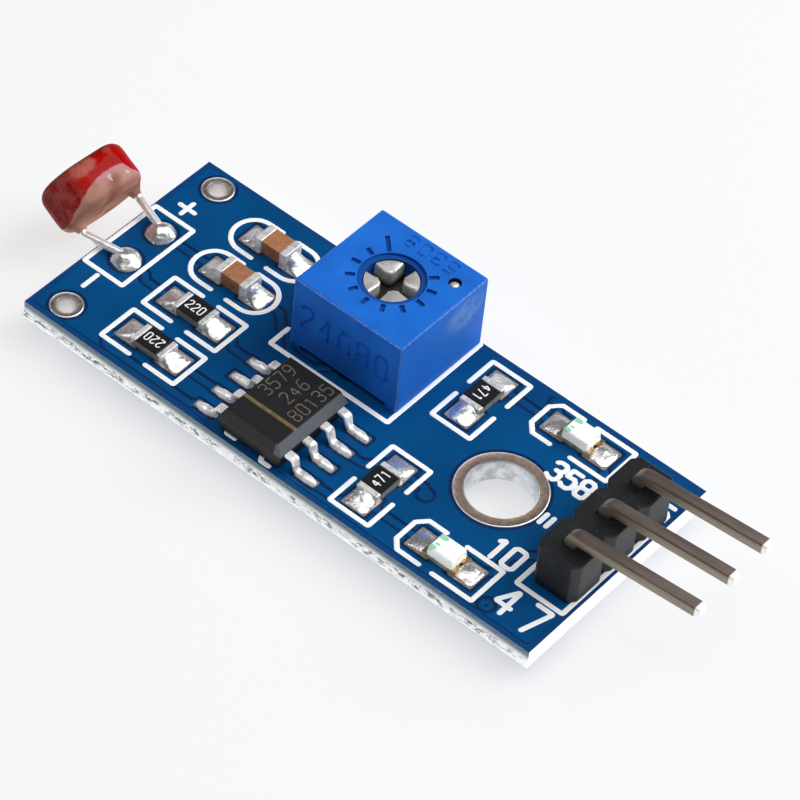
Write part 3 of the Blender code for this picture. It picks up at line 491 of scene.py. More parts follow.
def resistorFinish():
    # Black glass over the ceramic's top face, bare ceramic at its sides
    top = boardBox("resistor_1_body")[1].z
    finish = Finish("resistorCoat", specular_ior_level=0.5)
    where = finish.place()
    coat = finish.split(where)[2].ramp(top - 0.1, top - 0.07)
    rough = finish.noise(where, 8.0, 5.0, 0.7)
    ceramic = finish.mix(rough.ramp(0.3, 0.7), linear(112, 108, 98), linear(158, 152, 140))
    finish.set("Base Color", finish.mix(coat, ceramic, linear(24, 23, 24)))
    finish.set("Roughness", 0.6 - coat * 0.25)
    finish.bump(rough, 0.4, 0.02)
    return finish.material


def capacitorFinish():
    finish = Finish("capacitorCeramic", specular_ior_level=0.4)
    where = finish.place()
    cloud = finish.noise(where, 3.0, 5.0, 0.7)
    finish.set("Base Color", finish.mix(cloud.ramp(0.3, 0.7), linear(156, 100, 62), linear(184, 130, 92)))
    finish.set("Roughness", 0.45 + cloud * 0.2)
    finish.bump(finish.noise(where, 18.0, 4.0), 0.4, 0.02)
    return finish.material


def capMetalFinish():
    # Tinned ends of the chip parts, rubbed grey in places
    finish = Finish("endMetal", metallic=0.45)
    where = finish.place()
    rub = finish.noise(where, 4.0, 5.0, 0.7)
    finish.set("Base Color", finish.mix(rub.ramp(0.3, 0.55), (0.55, 0.5, 0.45), (0.93, 0.92, 0.9)))
    finish.set("Roughness", 0.34 + rub * 0.2)
    finish.bump(rub, 0.4, 0.04)
    return finish.material


def lensFinish():
    # Milky resin with a painted glow; the green marks of the die's end show through one end of it
    look = {
        "milk": ((0.86, 0.88, 0.83), (0.94, 0.95, 0.93)),
        "green": (0.03, 0.5, 0.22),
        "glow": (0.9, 0.95, 0.91),
        # Each mark: place across and along the lamp, then its half width and half length
        "marks": [(0.34, -0.48, 0.17, 0.27), (-0.16, -0.46, 0.08, 0.14), (-0.44, -0.58, 0.14, 0.26)],
    }
    finish = Finish("ledResin", roughness=0.3, coat_weight=0.6, coat_roughness=0.12)
    finish.set("Subsurface Weight", 0.25)
    finish.set("Subsurface Radius", (0.3 * mm, 0.4 * mm, 0.3 * mm))
    where = finish.place()
    x, y, z = finish.split(where)
    cloud = finish.noise(where, 2.2, 4.0).ramp(0.35, 0.7)
    milk = finish.mix(cloud, *look["milk"])
    lamp = parts["leds"][1]
    along, across = x - lamp[0], y - ((y > 0.0) * 2.0 - 1.0) * lamp[1]
    green = None
    for side, place, wide, deep in look["marks"]:
        away = ((across - side) / wide) ** 2.0 + ((along - place) / deep) ** 2.0
        spot = 1.0 - away.ramp(0.6, 1.2)
        green = green.most(spot) if green else spot
    ragged = finish.noise(where, 5.0, 4.0, 0.7).ramp(0.3, 0.44)
    finish.set("Base Color", finish.mix(green * ragged * 0.9, milk, look["green"]))
    # A painted glow; the lamp is not lit
    finish.set("Emission Color", look["glow"]).set("Emission Strength", 0.25)
    finish.bump(finish.noise(where, 6.0, 4.0), 0.3, 0.03)
    return finish.material


def ledBaseFinish():
    finish = Finish("ledLaminate", roughness=0.5)
    where = finish.place()
    cloud = finish.noise(where, 4.0, 4.0, 0.6).ramp(0.3, 0.7)
    finish.set("Base Color", finish.mix(cloud, linear(150, 146, 104), linear(206, 204, 178)))
    finish.bump(finish.noise(where, 14.0, 4.0), 0.4, 0.02)
    return finish.material


def goldFinish():
    finish = Finish("terminalGold", metallic=1.0)
    where = finish.place()
    rub = finish.noise(where, 6.0, 4.0, 0.7)
    finish.set("Base Color", finish.mix(rub.ramp(0.3, 0.7), (0.3, 0.2, 0.09), (0.66, 0.5, 0.27)))
    finish.set("Roughness", 0.3 + rub * 0.15)
    return finish.material


def headerFinish():
    # Black moulding with a little dust
    finish = Finish("headerBlack", specular_ior_level=0.35)
    where = finish.place()
    dust = finish.noise(where, 3.2, 6.0, 0.8).ramp(0.55, 0.78)
    cloud = finish.noise(where, 0.9, 4.0).ramp(0.3, 0.7)
    colour = finish.mix(cloud, linear(9, 10, 12), linear(22, 24, 27))
    finish.set("Base Color", finish.mix(dust * 0.55, colour, linear(96, 102, 108)))
    finish.set("Roughness", 0.48 + dust * 0.3)
    finish.bump(finish.noise(where, 16.0, 5.0, 0.7), 0.5, 0.03)
    return finish.material


def cellFinish(axes):
    # Clear resin: red where the film behind it comes round the rim, brownish where the ceramic shows, with
    # two painted glints and a painted lilac highlight along the film's edge.
    # Here side runs from lead to lead and height from the cell's back to its front.
    tone = {
        "red": linear(166, 12, 9),
        "pink": linear(178, 98, 88),
        "deep": linear(134, 22, 24),
        "rim": linear(72, 22, 18),
        "back": linear(188, 138, 122),
        "brown": linear(136, 92, 76),
        "painted_glint": linear(226, 204, 196),
        "lilac_highlight": linear(208, 128, 160),
    }
    finish = Finish("cellResin", roughness=0.42, coat_roughness=0.05, specular_ior_level=0.0)
    where = finish.place(axes)
    side, height = finish.split(where)[1:]
    wave = finish.noise(where, 1.6, 3.0) - 0.5
    # The film ends along a crest that falls away to both sides.
    across = side - 0.3
    crest = 1.28 - across * across * 0.14 - side.ramp(1.15, 1.6) * 0.45
    split = height - crest + wave * 0.22
    film = split.ramp(-0.05, 0.05)

    def patch(middle, level, wide, high):
        away = ((side - middle + wave) / wide) ** 2.0 + ((height - level + wave * 0.7) / high) ** 2.0
        return 1.0 - away.ramp(0.35, 1.25)

    streaks = finish.noise(where, 2.2, 5.0, 0.65, (1.0, 1.0, 0.5))
    pale = patch(-0.7, 2.15, 0.85, 0.55).most(patch(-1.8, 1.5, 0.4, 0.7) * 0.6)
    pale = pale.most(patch(1.0, 2.1, 0.3, 0.3) * 0.4)
    red = finish.mix(pale * streaks.ramp(0.3, 0.55), tone["red"], tone["pink"])
    end = (0.0 - side).ramp(1.1, 1.8)
    dull = finish.mix(streaks.ramp(0.4, 0.6), tone["deep"], finish.mix(0.45, tone["deep"], tone["pink"]))
    red = finish.mix(end, red, dull)
    rim = height.ramp(2.2, 2.48).most((0.0 - side).ramp(2.15, 2.4) * 0.7)
    red = finish.mix(rim * 0.6, red, tone["rim"])
    back = finish.mix(finish.noise(where, 0.9, 1.0).ramp(0.45, 0.85), tone["back"], tone["brown"])
    low = height.ramp(0.06, 0.16) * (1.0 - height.ramp(0.2, 0.5)) * 0.5
    back = finish.mix(low.most(side.ramp(1.3, 2.1) * 0.7), back, tone["brown"])
    colour = finish.mix(film, back, red)
    # Two painted glints on the resin
    painted_glint = patch(0.25, 0.95, 0.12, 0.22).most(patch(1.2, 0.72, 0.16, 0.13))
    colour = finish.mix(painted_glint * 0.7, colour, tone["painted_glint"])
    # A painted lilac highlight just under the film's edge
    seam = split.ramp(-0.3, -0.05) * (1.0 - split.ramp(-0.05, 0.08)) * side.ramp(-0.9, -0.2)
    finish.set("Base Color", finish.mix(seam * 0.75, colour, tone["lilac_highlight"]))
    finish.set("Coat Weight", height.ramp(0.08, 0.3) * 0.12)
    finish.bump(finish.noise(where, 1.8, 2.0, 0.4), 0.16, 0.1)
    return finish.material


def plainFinish(name, first, second, roughness, metallic=0.0):
    finish = Finish(name, roughness=roughness, metallic=metallic)
    where = finish.place()
    finish.set("Base Color", finish.mix(finish.noise(where, 3.0, 4.0).ramp(0.3, 0.7), first, second))
    finish.bump(finish.noise(where, 15.0, 4.0), 0.4, 0.02)
    return finish.material


# Shapes

def loft(rings, closed=False):
    # Skins a row of rings; a ring of one point closes an end.
    shape = bmesh.new()
    made = [[shape.verts.new(point) for point in ring] for ring in rings]
    pairs = list(zip(made, made[1:]))
    if closed:
        pairs.append((made[-1], made[0]))
    for first, second in pairs:
        count = max(len(first), len(second))
        for i in range(count):
            j = (i + 1) % count
            if len(first) == 1:
                shape.faces.new((first[0], second[j], second[i]))
            elif len(second) == 1:
                shape.faces.new((first[i], first[j], second[0]))
            else:
                shape.faces.new((first[i], first[j], second[j], second[i]))
    if not closed:
        for ring in (made[0], made[-1]):
            if len(ring) > 2:
                shape.faces.new(ring)
    return shape


def lathe(profile, steps=64, closed=False, centre=(0.0, 0.0)):
    # Turns a profile of (radius, height) places about an upright axis
    rings = []
    for radius, height in profile:
        if radius == 0.0:
            rings.append([(*centre, height)])
        else:
            angles = [2.0 * math.pi * i / steps for i in range(steps)]
            x, y = centre
            ring = [(x + radius * math.cos(a), y + radius * math.sin(a), height) for a in angles]
            rings.append(ring)
    return loft(rings, closed)


def plate(outline, low, high):
    # A flat piece of even thickness
    return loft([[(x, y, z) for x, y in outline] for z in (low, high)])


def rounded(length, width, radius, steps=4, centre=(0.0, 0.0)):
    # The outline of a rectangle with round corners
    outline = []
    for i, (sx, sy) in enumerate(((1, 1), (-1, 1), (-1, -1), (1, -1))):
        cx, cy = sx * (length / 2.0 - radius), sy * (width / 2.0 - radius)
        for k in range(steps + 1):
            a = math.radians(90.0 * i + 90.0 * k / steps)
            outline.append((centre[0] + cx + radius * math.cos(a), centre[1] + cy + radius * math.sin(a)))
    return outline


def pillow(length, width, low, high, corner, edge, taper=0.0, centre=(0.0, 0.0)):
    # A block with round upright corners and a round upper edge; the last two rings keep its top flat
    levels = [(0.0, low), (taper, high - edge)]
    for k in range(1, 6):
        a = math.radians(90.0 * k / 5)
        levels.append((taper + edge * (1.0 - math.cos(a)), high - edge * (1.0 - math.sin(a))))
    levels.append((taper + edge + 0.02, high))
    rings = []
    for inset, z in levels:
        radius = max(corner - inset * 0.5, 0.02)
        outline = rounded(length - 2 * inset, width - 2 * inset, radius, 4, centre)
        rings.append([(x, y, z) for x, y in outline])
    return loft(rings)


def join(shapes):
    # One shape of many, each with its faces turned outward
    whole = bmesh.new()
    for shape in shapes:
        bmesh.ops.recalc_face_normals(shape, faces=shape.faces)
        part = bpy.data.meshes.new("part")
        shape.to_mesh(part)
        shape.free()
        whole.from_mesh(part)
        bpy.data.meshes.remove(part)
    return whole


def sweep(path, section, side):
    # Carries a section along a path; side is the way that the section's first axis starts out.
    rings = []
    side = Vector(side).normalized()
    for i, point in enumerate(path):
        way = (path[min(i + 1, len(path) - 1)] - path[max(i - 1, 0)]).normalized()
        side = (side - way * side.dot(way)).normalized()
        other = way.cross(side)
        rings.append([point + side * u + other * v for u, v in section])
    return loft(rings)


def bend(corners, radius, steps):
    # A path with each inner corner rounded
    path = [Vector(corners[0])]
    for before, corner, after in zip(corners, corners[1:], corners[2:]):
        arriving = (Vector(corner) - Vector(before)).normalized()
        leaving = (Vector(after) - Vector(corner)).normalized()
        half = arriving.angle(leaving) / 2.0
        centre = Vector(corner) + (leaving - arriving).normalized() * (radius / math.cos(half))
        start = Vector(corner) - arriving * (radius * math.tan(half)) - centre
        axis = arriving.cross(leaving).normalized()
        path += [centre + Matrix.Rotation(2.0 * half * i / steps, 3, axis) @ start for i in range(steps + 1)]
    return path + [Vector(corners[-1])]


def ruffle(shape, amount, size, seed):
    # Uneven surface, as of something that once flowed
    for vert in shape.verts:
        here = vert.co * size + Vector((seed, seed * 2.0, seed * 3.0))
        vert.co += noise.noise_vector(here) * amount
    return shape


def asMesh(name, shape):
    mesh = bpy.data.meshes.new(name)
    shape.to_mesh(mesh)
    shape.free()
    return mesh


def placed(name, data):
    # Adds an object to the scene
    item = bpy.data.objects.new(name, data)
    bpy.context.scene.collection.objects.link(item)
    return item


def dress(node, material):
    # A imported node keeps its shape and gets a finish.
    materials = nodes[node].data.materials
    materials.clear()
    materials.append(material)


def finishPiece(name, shape, material=None, body="module", replaces=(), sharp=40.0):
    mesh = shape if isinstance(shape, bpy.types.Mesh) else asMesh(name, shape)
    mesh.name = name
    mesh.transform(toFrame)
    if material:
        mesh.materials.clear()
        mesh.materials.append(material)
    mesh.shade_smooth()
    mesh.set_sharp_from_angle(angle=math.radians(sharp))
    piece = placed(name, mesh)
    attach(piece, body)
    if replaces:
        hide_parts(*replaces)


def settled(holder):
    # What the modifiers make of an object, as a plain mesh; the object goes.
    bpy.context.view_layer.update()
    graph = bpy.context.evaluated_depsgraph_get()
    mesh = bpy.data.meshes.new_from_object(holder.evaluated_get(graph))
    holder.modifiers.clear()
    bpy.data.objects.remove(holder)
    return mesh


def carve(mesh, cutters, bevel=0.0, segments=2, angle=35.0):
    # Rounds the edges of a mesh, then cuts it with others
    holder = placed("holder", mesh)
    helpers = []
    if bevel:
        change = holder.modifiers.new("edges", "BEVEL")
        change.width = bevel
        change.segments = segments
        change.limit_method = "ANGLE"
        change.angle_limit = math.radians(angle)
    for cutter in cutters:
        helpers.append(placed("cutter", cutter))
        change = holder.modifiers.new("cut", "BOOLEAN")
        change.operation = "DIFFERENCE"
        change.solver = "EXACT"
        change.use_self = True
        change.object = helpers[-1]
    mesh = settled(holder)
    for helper in helpers:
        bpy.data.objects.remove(helper)
    return mesh


def packedMesh(node):
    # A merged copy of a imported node's mesh, in board millimetres
    shape = bmesh.new()
    shape.from_mesh(nodes[node].data)
    bmesh.ops.transform(shape, matrix=toFrame.inverted(), verts=shape.verts)
    bmesh.ops.remove_doubles(shape, verts=shape.verts, dist=0.0005)
    bmesh.ops.dissolve_limit(shape, angle_limit=math.radians(0.5), verts=shape.verts, edges=shape.edges)
    return asMesh(node + "_copy", shape)


# Node trees

def newTree(name, inputs):
    # A tree, what adds a node to it, and the sockets of its own input and output
    tree = bpy.data.node_groups.new(name, "GeometryNodeTree")
    tree.interface.new_socket("Geometry", in_out="INPUT", socket_type="NodeSocketGeometry")
    for label, kind in inputs:
        tree.interface.new_socket(label, in_out="INPUT", socket_type="NodeSocket" + kind)
    tree.interface.new_socket("Geometry", in_out="OUTPUT", socket_type="NodeSocketGeometry")

    def put(kind, settings=None, inputs=None):
        node = tree.nodes.new(kind)
        for label, value in (settings or {}).items():
            setattr(node, label, value)
        for label, value in (inputs or {}).items():
            if isinstance(value, bpy.types.NodeSocket):
                tree.links.new(value, node.inputs[label])
            else:
                node.inputs[label].default_value = value
        return node

    return tree, put, put("NodeGroupInput").outputs, put("NodeGroupOutput").inputs


def strokeTree():
    # Lines become flat-topped beads with round corners and round ends: ink, tracks and engraved marks.
    inputs = [("Width", "Float"), ("Height", "Float"), ("Corner", "Float"), ("Material", "Material")]
    tree, put, given, result = newTree("strokes", inputs)
    line = put("GeometryNodeMeshToCurve", inputs={"Mesh": given["Geometry"]})
    corner = put(
        "GeometryNodeFilletCurve",
        {"mode": "POLY"},
        {"Curve": line.outputs[0], "Radius": given["Corner"], "Count": 3, "Limit Radius": True},
    )
    level = put("GeometryNodeSetCurveNormal", {"mode": "Z_UP"}, {"Curve": corner.outputs[0]})
    circle = put("GeometryNodeCurvePrimitiveCircle", inputs={"Resolution": 12, "Radius": 1.0})
    half = put("ShaderNodeMath", {"operation": "MULTIPLY"}, {0: given["Width"], 1: 0.5})
    section = put("ShaderNodeCombineXYZ", inputs={"X": half.outputs[0], "Y": given["Height"], "Z": 1.0})
    profile = put("GeometryNodeTransform",
                  inputs={"Geometry": circle.outputs[0], "Scale": section.outputs[0]})
    bead = put(
        "GeometryNodeCurveToMesh",
        inputs={"Curve": level.outputs[0], "Profile Curve": profile.outputs[0], "Fill Caps": True},
    )
    ball = put("GeometryNodeMeshUVSphere", inputs={"Segments": 12, "Rings": 6, "Radius": 1.0})
    size = put("ShaderNodeCombineXYZ",
               inputs={"X": half.outputs[0], "Y": half.outputs[0], "Z": given["Height"]})
    ends = put("GeometryNodeCurveEndpointSelection")
    dots = put(
        "GeometryNodeInstanceOnPoints",
        inputs={
            "Points": level.outputs[0],
            "Selection": ends.outputs[0],
            "Instance": ball.outputs[0],
            "Scale": size.outputs[0],
        },
    )
    whole = put("GeometryNodeJoinGeometry", inputs={"Geometry": bead.outputs[0]})
    tree.links.new(dots.outputs[0], whole.inputs[0])
    real = put("GeometryNodeRealizeInstances", inputs={"Geometry": whole.outputs[0]})
    coat = put("GeometryNodeSetMaterial", inputs={"Geometry": real.outputs[0], "Material": given["Material"]})
    tree.links.new(coat.outputs[0], result[0])
    return tree


def copyTree():
    # Sets copies of one piece on points, each turned, with an unevenness of its own.
    inputs = [("Piece", "Object"), ("Wobble", "Float"), ("Wobble Size", "Float"), ("Material", "Material")]
    tree, put, given, result = newTree("copies", inputs)
    piece = put("GeometryNodeObjectInfo", inputs={"Object": given["Piece"]})
    turn = put("GeometryNodeInputNamedAttribute", {"data_type": "FLOAT_VECTOR"}, {"Name": "turn"})
    rotation = put("FunctionNodeEulerToRotation", inputs={0: turn.outputs[0]})
    copies = put(
        "GeometryNodeInstanceOnPoints",
        inputs={
            "Points": given["Geometry"],
            "Instance": piece.outputs["Geometry"],
            "Rotation": rotation.outputs[0],
        },
    )
    real = put("GeometryNodeRealizeInstances", inputs={"Geometry": copies.outputs[0]})
    field = put("ShaderNodeTexNoise", inputs={"Scale": given["Wobble Size"], "Detail": 1.0})
    grey = {0: field.outputs["Color"], 1: (0.5, 0.5, 0.5)}
    middle = put("ShaderNodeVectorMath", {"operation": "SUBTRACT"}, grey)
    scaled = {0: middle.outputs[0], "Scale": given["Wobble"]}
    shift = put("ShaderNodeVectorMath", {"operation": "SCALE"}, scaled)
    moved = put("GeometryNodeSetPosition", inputs={"Geometry": real.outputs[0], "Offset": shift.outputs[0]})
    coat = put("GeometryNodeSetMaterial",
               inputs={"Geometry": moved.outputs[0], "Material": given["Material"]})
    tree.links.new(coat.outputs[0], result[0])
    return tree


def grown(carrier, tree, settings):
    # What a tree makes of a mesh, as a plain mesh with its faces turned outward
    holder = placed("holder", carrier)
    change = holder.modifiers.new("grow", "NODES")
    change.node_group = tree
    for item in tree.interface.items_tree:
        if item.in_out == "INPUT" and item.name in settings:
            change[item.identifier] = settings[item.name]
    mesh = settled(holder)
    shape = bmesh.new()
    shape.from_mesh(mesh)
    bmesh.ops.recalc_face_normals(shape, faces=shape.faces)
    shape.to_mesh(mesh)
    shape.free()
    return mesh


def linesMesh(lines, z):
    # Each line is a list of places; one that ends where it starts is a loop.
    shape = bmesh.new()
    for line in lines:
        ring = len(line) > 2 and line[0] == line[-1]
        points = line[:-1] if ring else line
        verts = [shape.verts.new((*point, z)) for point in points]
        for first, second in zip(verts, verts[1:]):
            shape.edges.new((first, second))
        if ring:
            shape.edges.new((verts[-1], verts[0]))
    return asMesh("lines", shape)


def copies(shape, places, material, wobble, wobbleSize):
    # Each place is (x, y, z) and a turn about z in degrees.
    source = placed("source", asMesh("source", shape))
    carrier = bpy.data.meshes.new("places")
    carrier.from_pydata([place for place, turn in places], [], [])
    turns = carrier.attributes.new("turn", "FLOAT_VECTOR", "POINT")
    for i, (place, turn) in enumerate(places):
        turns.data[i].vector = (0.0, 0.0, math.radians(turn))
    settings = {"Piece": source, "Wobble": wobble, "Wobble Size": wobbleSize, "Material": material}
    mesh = grown(carrier, trees["copies"], settings)
    bpy.data.objects.remove(source)
    return mesh


def strokes(lines, width, height, corner, material, z):
    # Beads along lines that lie at one height
    settings = {"Width": width, "Height": height, "Corner": corner, "Material": material}
    return grown(linesMesh(lines, z), trees["strokes"], settings)


trees = {"strokes": strokeTree(), "copies": copyTree()}

# Plain numerals drawn with a pen, on a grid 2 wide and 4 high
numerals = {
    "0": [[(0.4, 0), (1.6, 0), (2, 0.4), (2, 3.6), (1.6, 4), (0.4, 4), (0, 3.6), (0, 0.4), (0.4, 0)]],
    "1": [[(0.4, 3.3), (1.1, 4), (1.1, 0)]],
    "2": [[(0, 3.4), (0.5, 4), (1.5, 4), (2, 3.4), (2, 2.6), (0, 0.3), (0, 0), (2, 0)]],
    "3": [[(0, 3.6), (0.5, 4), (1.5, 4), (2, 3.5), (2, 2.6), (1.4, 2.1), (0.8, 2.1)],
          [(1.4, 2.1), (2, 1.6), (2, 0.5), (1.5, 0), (0.5, 0), (0, 0.4)]],
    "4": [[(1.5, 0), (1.5, 4), (0, 1.2), (2, 1.2)]],
    "5": [[(1.9, 4), (0.1, 4), (0, 2.3), (1.4, 2.5), (2, 1.9), (2, 0.6), (1.4, 0), (0.4, 0), (0, 0.4)]],
    "6": [[(1.8, 4), (0.7, 3.8), (0, 2.4), (0, 0.5), (0.5, 0),
           (1.5, 0), (2, 0.5), (2, 1.7), (1.5, 2.2), (0, 1.9)]],
    "7": [[(0, 4), (2, 4), (0.8, 0)]],
    "8": [[(0.5, 2.1), (0, 2.6), (0, 3.5), (0.5, 4), (1.5, 4), (2, 3.5), (2, 2.6), (1.5, 2.1), (0.5, 2.1)],
          [(0.5, 2.1), (0, 1.6), (0, 0.5), (0.5, 0), (1.5, 0), (2, 0.5), (2, 1.6), (1.5, 2.1)]],
    "9": [[(0.2, 0), (1.3, 0.2), (2, 1.6), (2, 3.5), (1.5, 4),
           (0.5, 4), (0, 3.5), (0, 2.3), (0.5, 1.8), (2, 2.1)]],
}


def written(text, centre, height, turn=0.0, spacing=3.1, squeeze=1.0):
    # The lines of a number, centred on a place and turned about it
    size = height / 4.0
    start = -((len(text) - 1) * spacing + 2.0) / 2.0
    rotation = Matrix.Rotation(math.radians(turn), 2)
    lines = []
    for i, character in enumerate(text):
        for stroke in numerals[character]:
            across = [(start + i * spacing + u) * size * squeeze for u, v in stroke]
            places = [rotation @ Vector((a, (v - 2.0) * size)) for a, (u, v) in zip(across, stroke)]
            lines.append([(centre[0] + p.x, centre[1] + p.y) for p in places])
    return lines


ink = inkFinish()
solder = solderFinish("solder")
pourBlue = pourFinish()
capMetal = capMetalFinish()

# Board
print("board: copper, mask and print")
chipY = -3.93
chipRows = [chipY + (i - 1.5) * 1.27 for i in range(4)]
columnRows = [-4.6 + i * 2.97 for i in range(4)]
parts = {
    "resistors": [
        (6.55, columnRows[0], 0.0), (6.55, columnRows[1], 0.0), (20.1, -3.78, 90.0), (20.1, 3.78, 90.0),
    ],
    "capacitors": [(6.65, columnRows[2], 0.0), (6.65, columnRows[3], 0.0)],
    "leds": [(25.2, -5.02, 0.0), (25.2, 5.02, 0.0)],
    "chip": (14.17, chipY),
    "trimmer": (14.36, 3.42),
    "cellHoles": [(1.65, 1.27), (1.65, -1.27)],
    "corners": [(1.65, -5.5), (1.65, 5.5)],
    "mountHole": (24.4, 0.0),
    "headerPins": [(30.0, -2.04), (30.0, 0.5), (30.0, 3.04)],
    "trimmerPins": [(12.01, 5.3), (14.36, 1.12), (16.71, 5.3)],
    "vias": [(22.0, -2.73), (22.9, 6.1), (10.6, 0.6), (28.3, -5.9)],
}

dress("circuit_board", boardFinish())


def padPlaces():
    # Centre, length and width of each soldered pad, with its turn
    pads = []
    for x, y, turn in parts["resistors"] + parts["capacitors"] + parts["leds"]:
        for sign in (-1, 1):
            shift = Matrix.Rotation(math.radians(turn), 2) @ Vector((sign * 1.3, 0.0))
            pads.append(((x + shift.x, y + shift.y), (1.4, 1.42), turn))
    for y in chipRows:
        for sign in (-1, 1):
            pads.append(((parts["chip"][0] + sign * 3.18, y), (1.24, 0.5), 0.0))
    return pads


def padPlates(pads, grow, corner, low, high):
    shapes = []
    for centre, (length, width), turn in pads:
        shape = plate(rounded(length + 2 * grow, width + 2 * grow, corner), low, high)
        rotation = Matrix.Rotation(math.radians(turn), 3, "Z")
        bmesh.ops.rotate(shape, cent=(0, 0, 0), matrix=rotation, verts=shape.verts)
        bmesh.ops.translate(shape, vec=(*centre, 0.0), verts=shape.verts)
        shapes.append(shape)
    return shapes


def roundCutters(rounds, gap):
    shapes = []
    for centre, radius in rounds:
        reach = radius + gap
        shapes.append(lathe([(0, -0.5), (reach, -0.5), (reach, 0.5), (0, 0.5)], 48, centre=centre))
    return shapes


def buildCopper():
    # Copper shows through the mask as raised sheets, cut clear round pads and tracks.
    copper = {"margin": 0.32, "gap": 0.17, "track": 0.34, "corner": 0.12}
    chipLeft, chipRight = parts["chip"][0] - 2.9, parts["chip"][0] + 2.9
    tracks = [
        [(7.85, columnRows[0]), (chipLeft, chipRows[1])],
        [(7.85, columnRows[1]), (8.9, columnRows[1]), (9.3, chipRows[3]), (chipLeft, chipRows[3])],
        [(5.2, -4.6), (4.4, -5.4), (4.4, -5.7), (4.8, -6.1), (10.2, -6.1),
         (10.46, chipRows[0]), (chipLeft, chipRows[0])],
        [(1.65, -1.27), (2.9, -1.27), (3.26, columnRows[1]), (5.2, columnRows[1])],
        [(1.65, 1.27), (5.2, columnRows[2])],
        [(7.9, columnRows[2]), (9.4, columnRows[2]), (10.14, 0.6), (10.6, 0.6)],
        [(20.1, -5.02), (23.9, -5.02)],
        [(20.1, 5.02), (23.9, 5.02)],
        [(chipRight, chipRows[0]), (19.2, chipRows[0]), (19.83, -5.2), (20.1, -5.2)],
        [(chipRight, chipRows[2]), (18.6, chipRows[2]), (19.5, -2.4), (20.1, -2.4)],
        [(20.1, -2.4), (21.67, -2.4), (22.0, -2.73)],
        [(30.0, -2.04), (28.1, -2.04), (27.3, -2.84), (27.3, -4.22), (26.5, -5.02)],
        [(30.0, 3.04), (28.1, 3.04), (27.3, 3.84), (27.3, 4.22), (26.5, 5.02)],
        [(24.0, 5.02), (22.92, 6.1)],
        [(14.36, 1.12), (12.94, -0.3), (11.5, -0.3), (10.6, 0.6)],
    ]
    pads = padPlaces()
    # Clear rings, each by its centre and the radius of what it goes round
    rounds = [(place, 0.8) for place in parts["cellHoles"] + parts["headerPins"] + parts["trimmerPins"]]
    rounds += [(place, 0.85) for place in parts["corners"]] + [(parts["mountHole"], 2.34)]
    through = list(rounds)
    rounds += [(place, 0.36) for place in parts["vias"]]
    gap, margin, corner, under = copper["gap"], copper["margin"], copper["corner"], -board["thick"]
    length, width = board["length"], board["width"]
    outline = rounded(length - 2 * margin, width - 2 * margin, 0.2, centre=(length / 2, 0))

    moats = asMesh("moats", join(roundCutters(rounds, gap) + padPlates(pads, gap, 0.15, -0.5, 0.5)))
    beds = strokes(tracks, copper["track"] + 2 * gap, 0.6, corner, pourBlue, 0.0)
    lower = asMesh("moats", join(roundCutters(through, gap)))
    for name, side, level, cuts in (
        ("copperPourTop", 1, 0.0, [moats, beds]),
        ("copperPourBottom", -1, under, [lower]),
    ):
        sheet = plate(outline, 0.0, board["pour"] * side)
        bmesh.ops.recalc_face_normals(sheet, faces=sheet.faces)
        mesh = carve(asMesh("pour", sheet), cuts)
        mesh.transform(Matrix.Translation((0.0, 0.0, level)))
        finishPiece(name, mesh, pourBlue, sharp=30.0)

    raised = strokes(tracks, copper["track"], board["pour"], corner, pourBlue, 0.0)
    finishPiece("tracks", raised)
    dimple = [(0, 0), (0.36, 0), (0.34, 0.03), (0.24, 0.045), (0.14, 0.03), (0, -0.02)]
    vias = [lathe(dimple, 32, centre=place) for place in parts["vias"]]
    finishPiece("tentedVias", join(vias), pourBlue)
    # Tinned pads on top, and rings round the soldered holes underneath
    shapes = padPlates(pads, 0.0, 0.08, 0.0, board["pad"])
    land = [(0.5, under), (0.9, under), (0.9, under - board["pad"]), (0.5, under - board["pad"])]
    for place in parts["headerPins"] + parts["trimmerPins"] + parts["cellHoles"]:
        shapes.append(lathe(land, 40, True, place))
    finishPiece("tinnedPads", join(shapes), padTin)


padTin = solderFinish("padTin", tone=(0.6, 0.55, 0.5), stain=(0.26, 0.2, 0.16), gloss=0.3)
buildCopper()


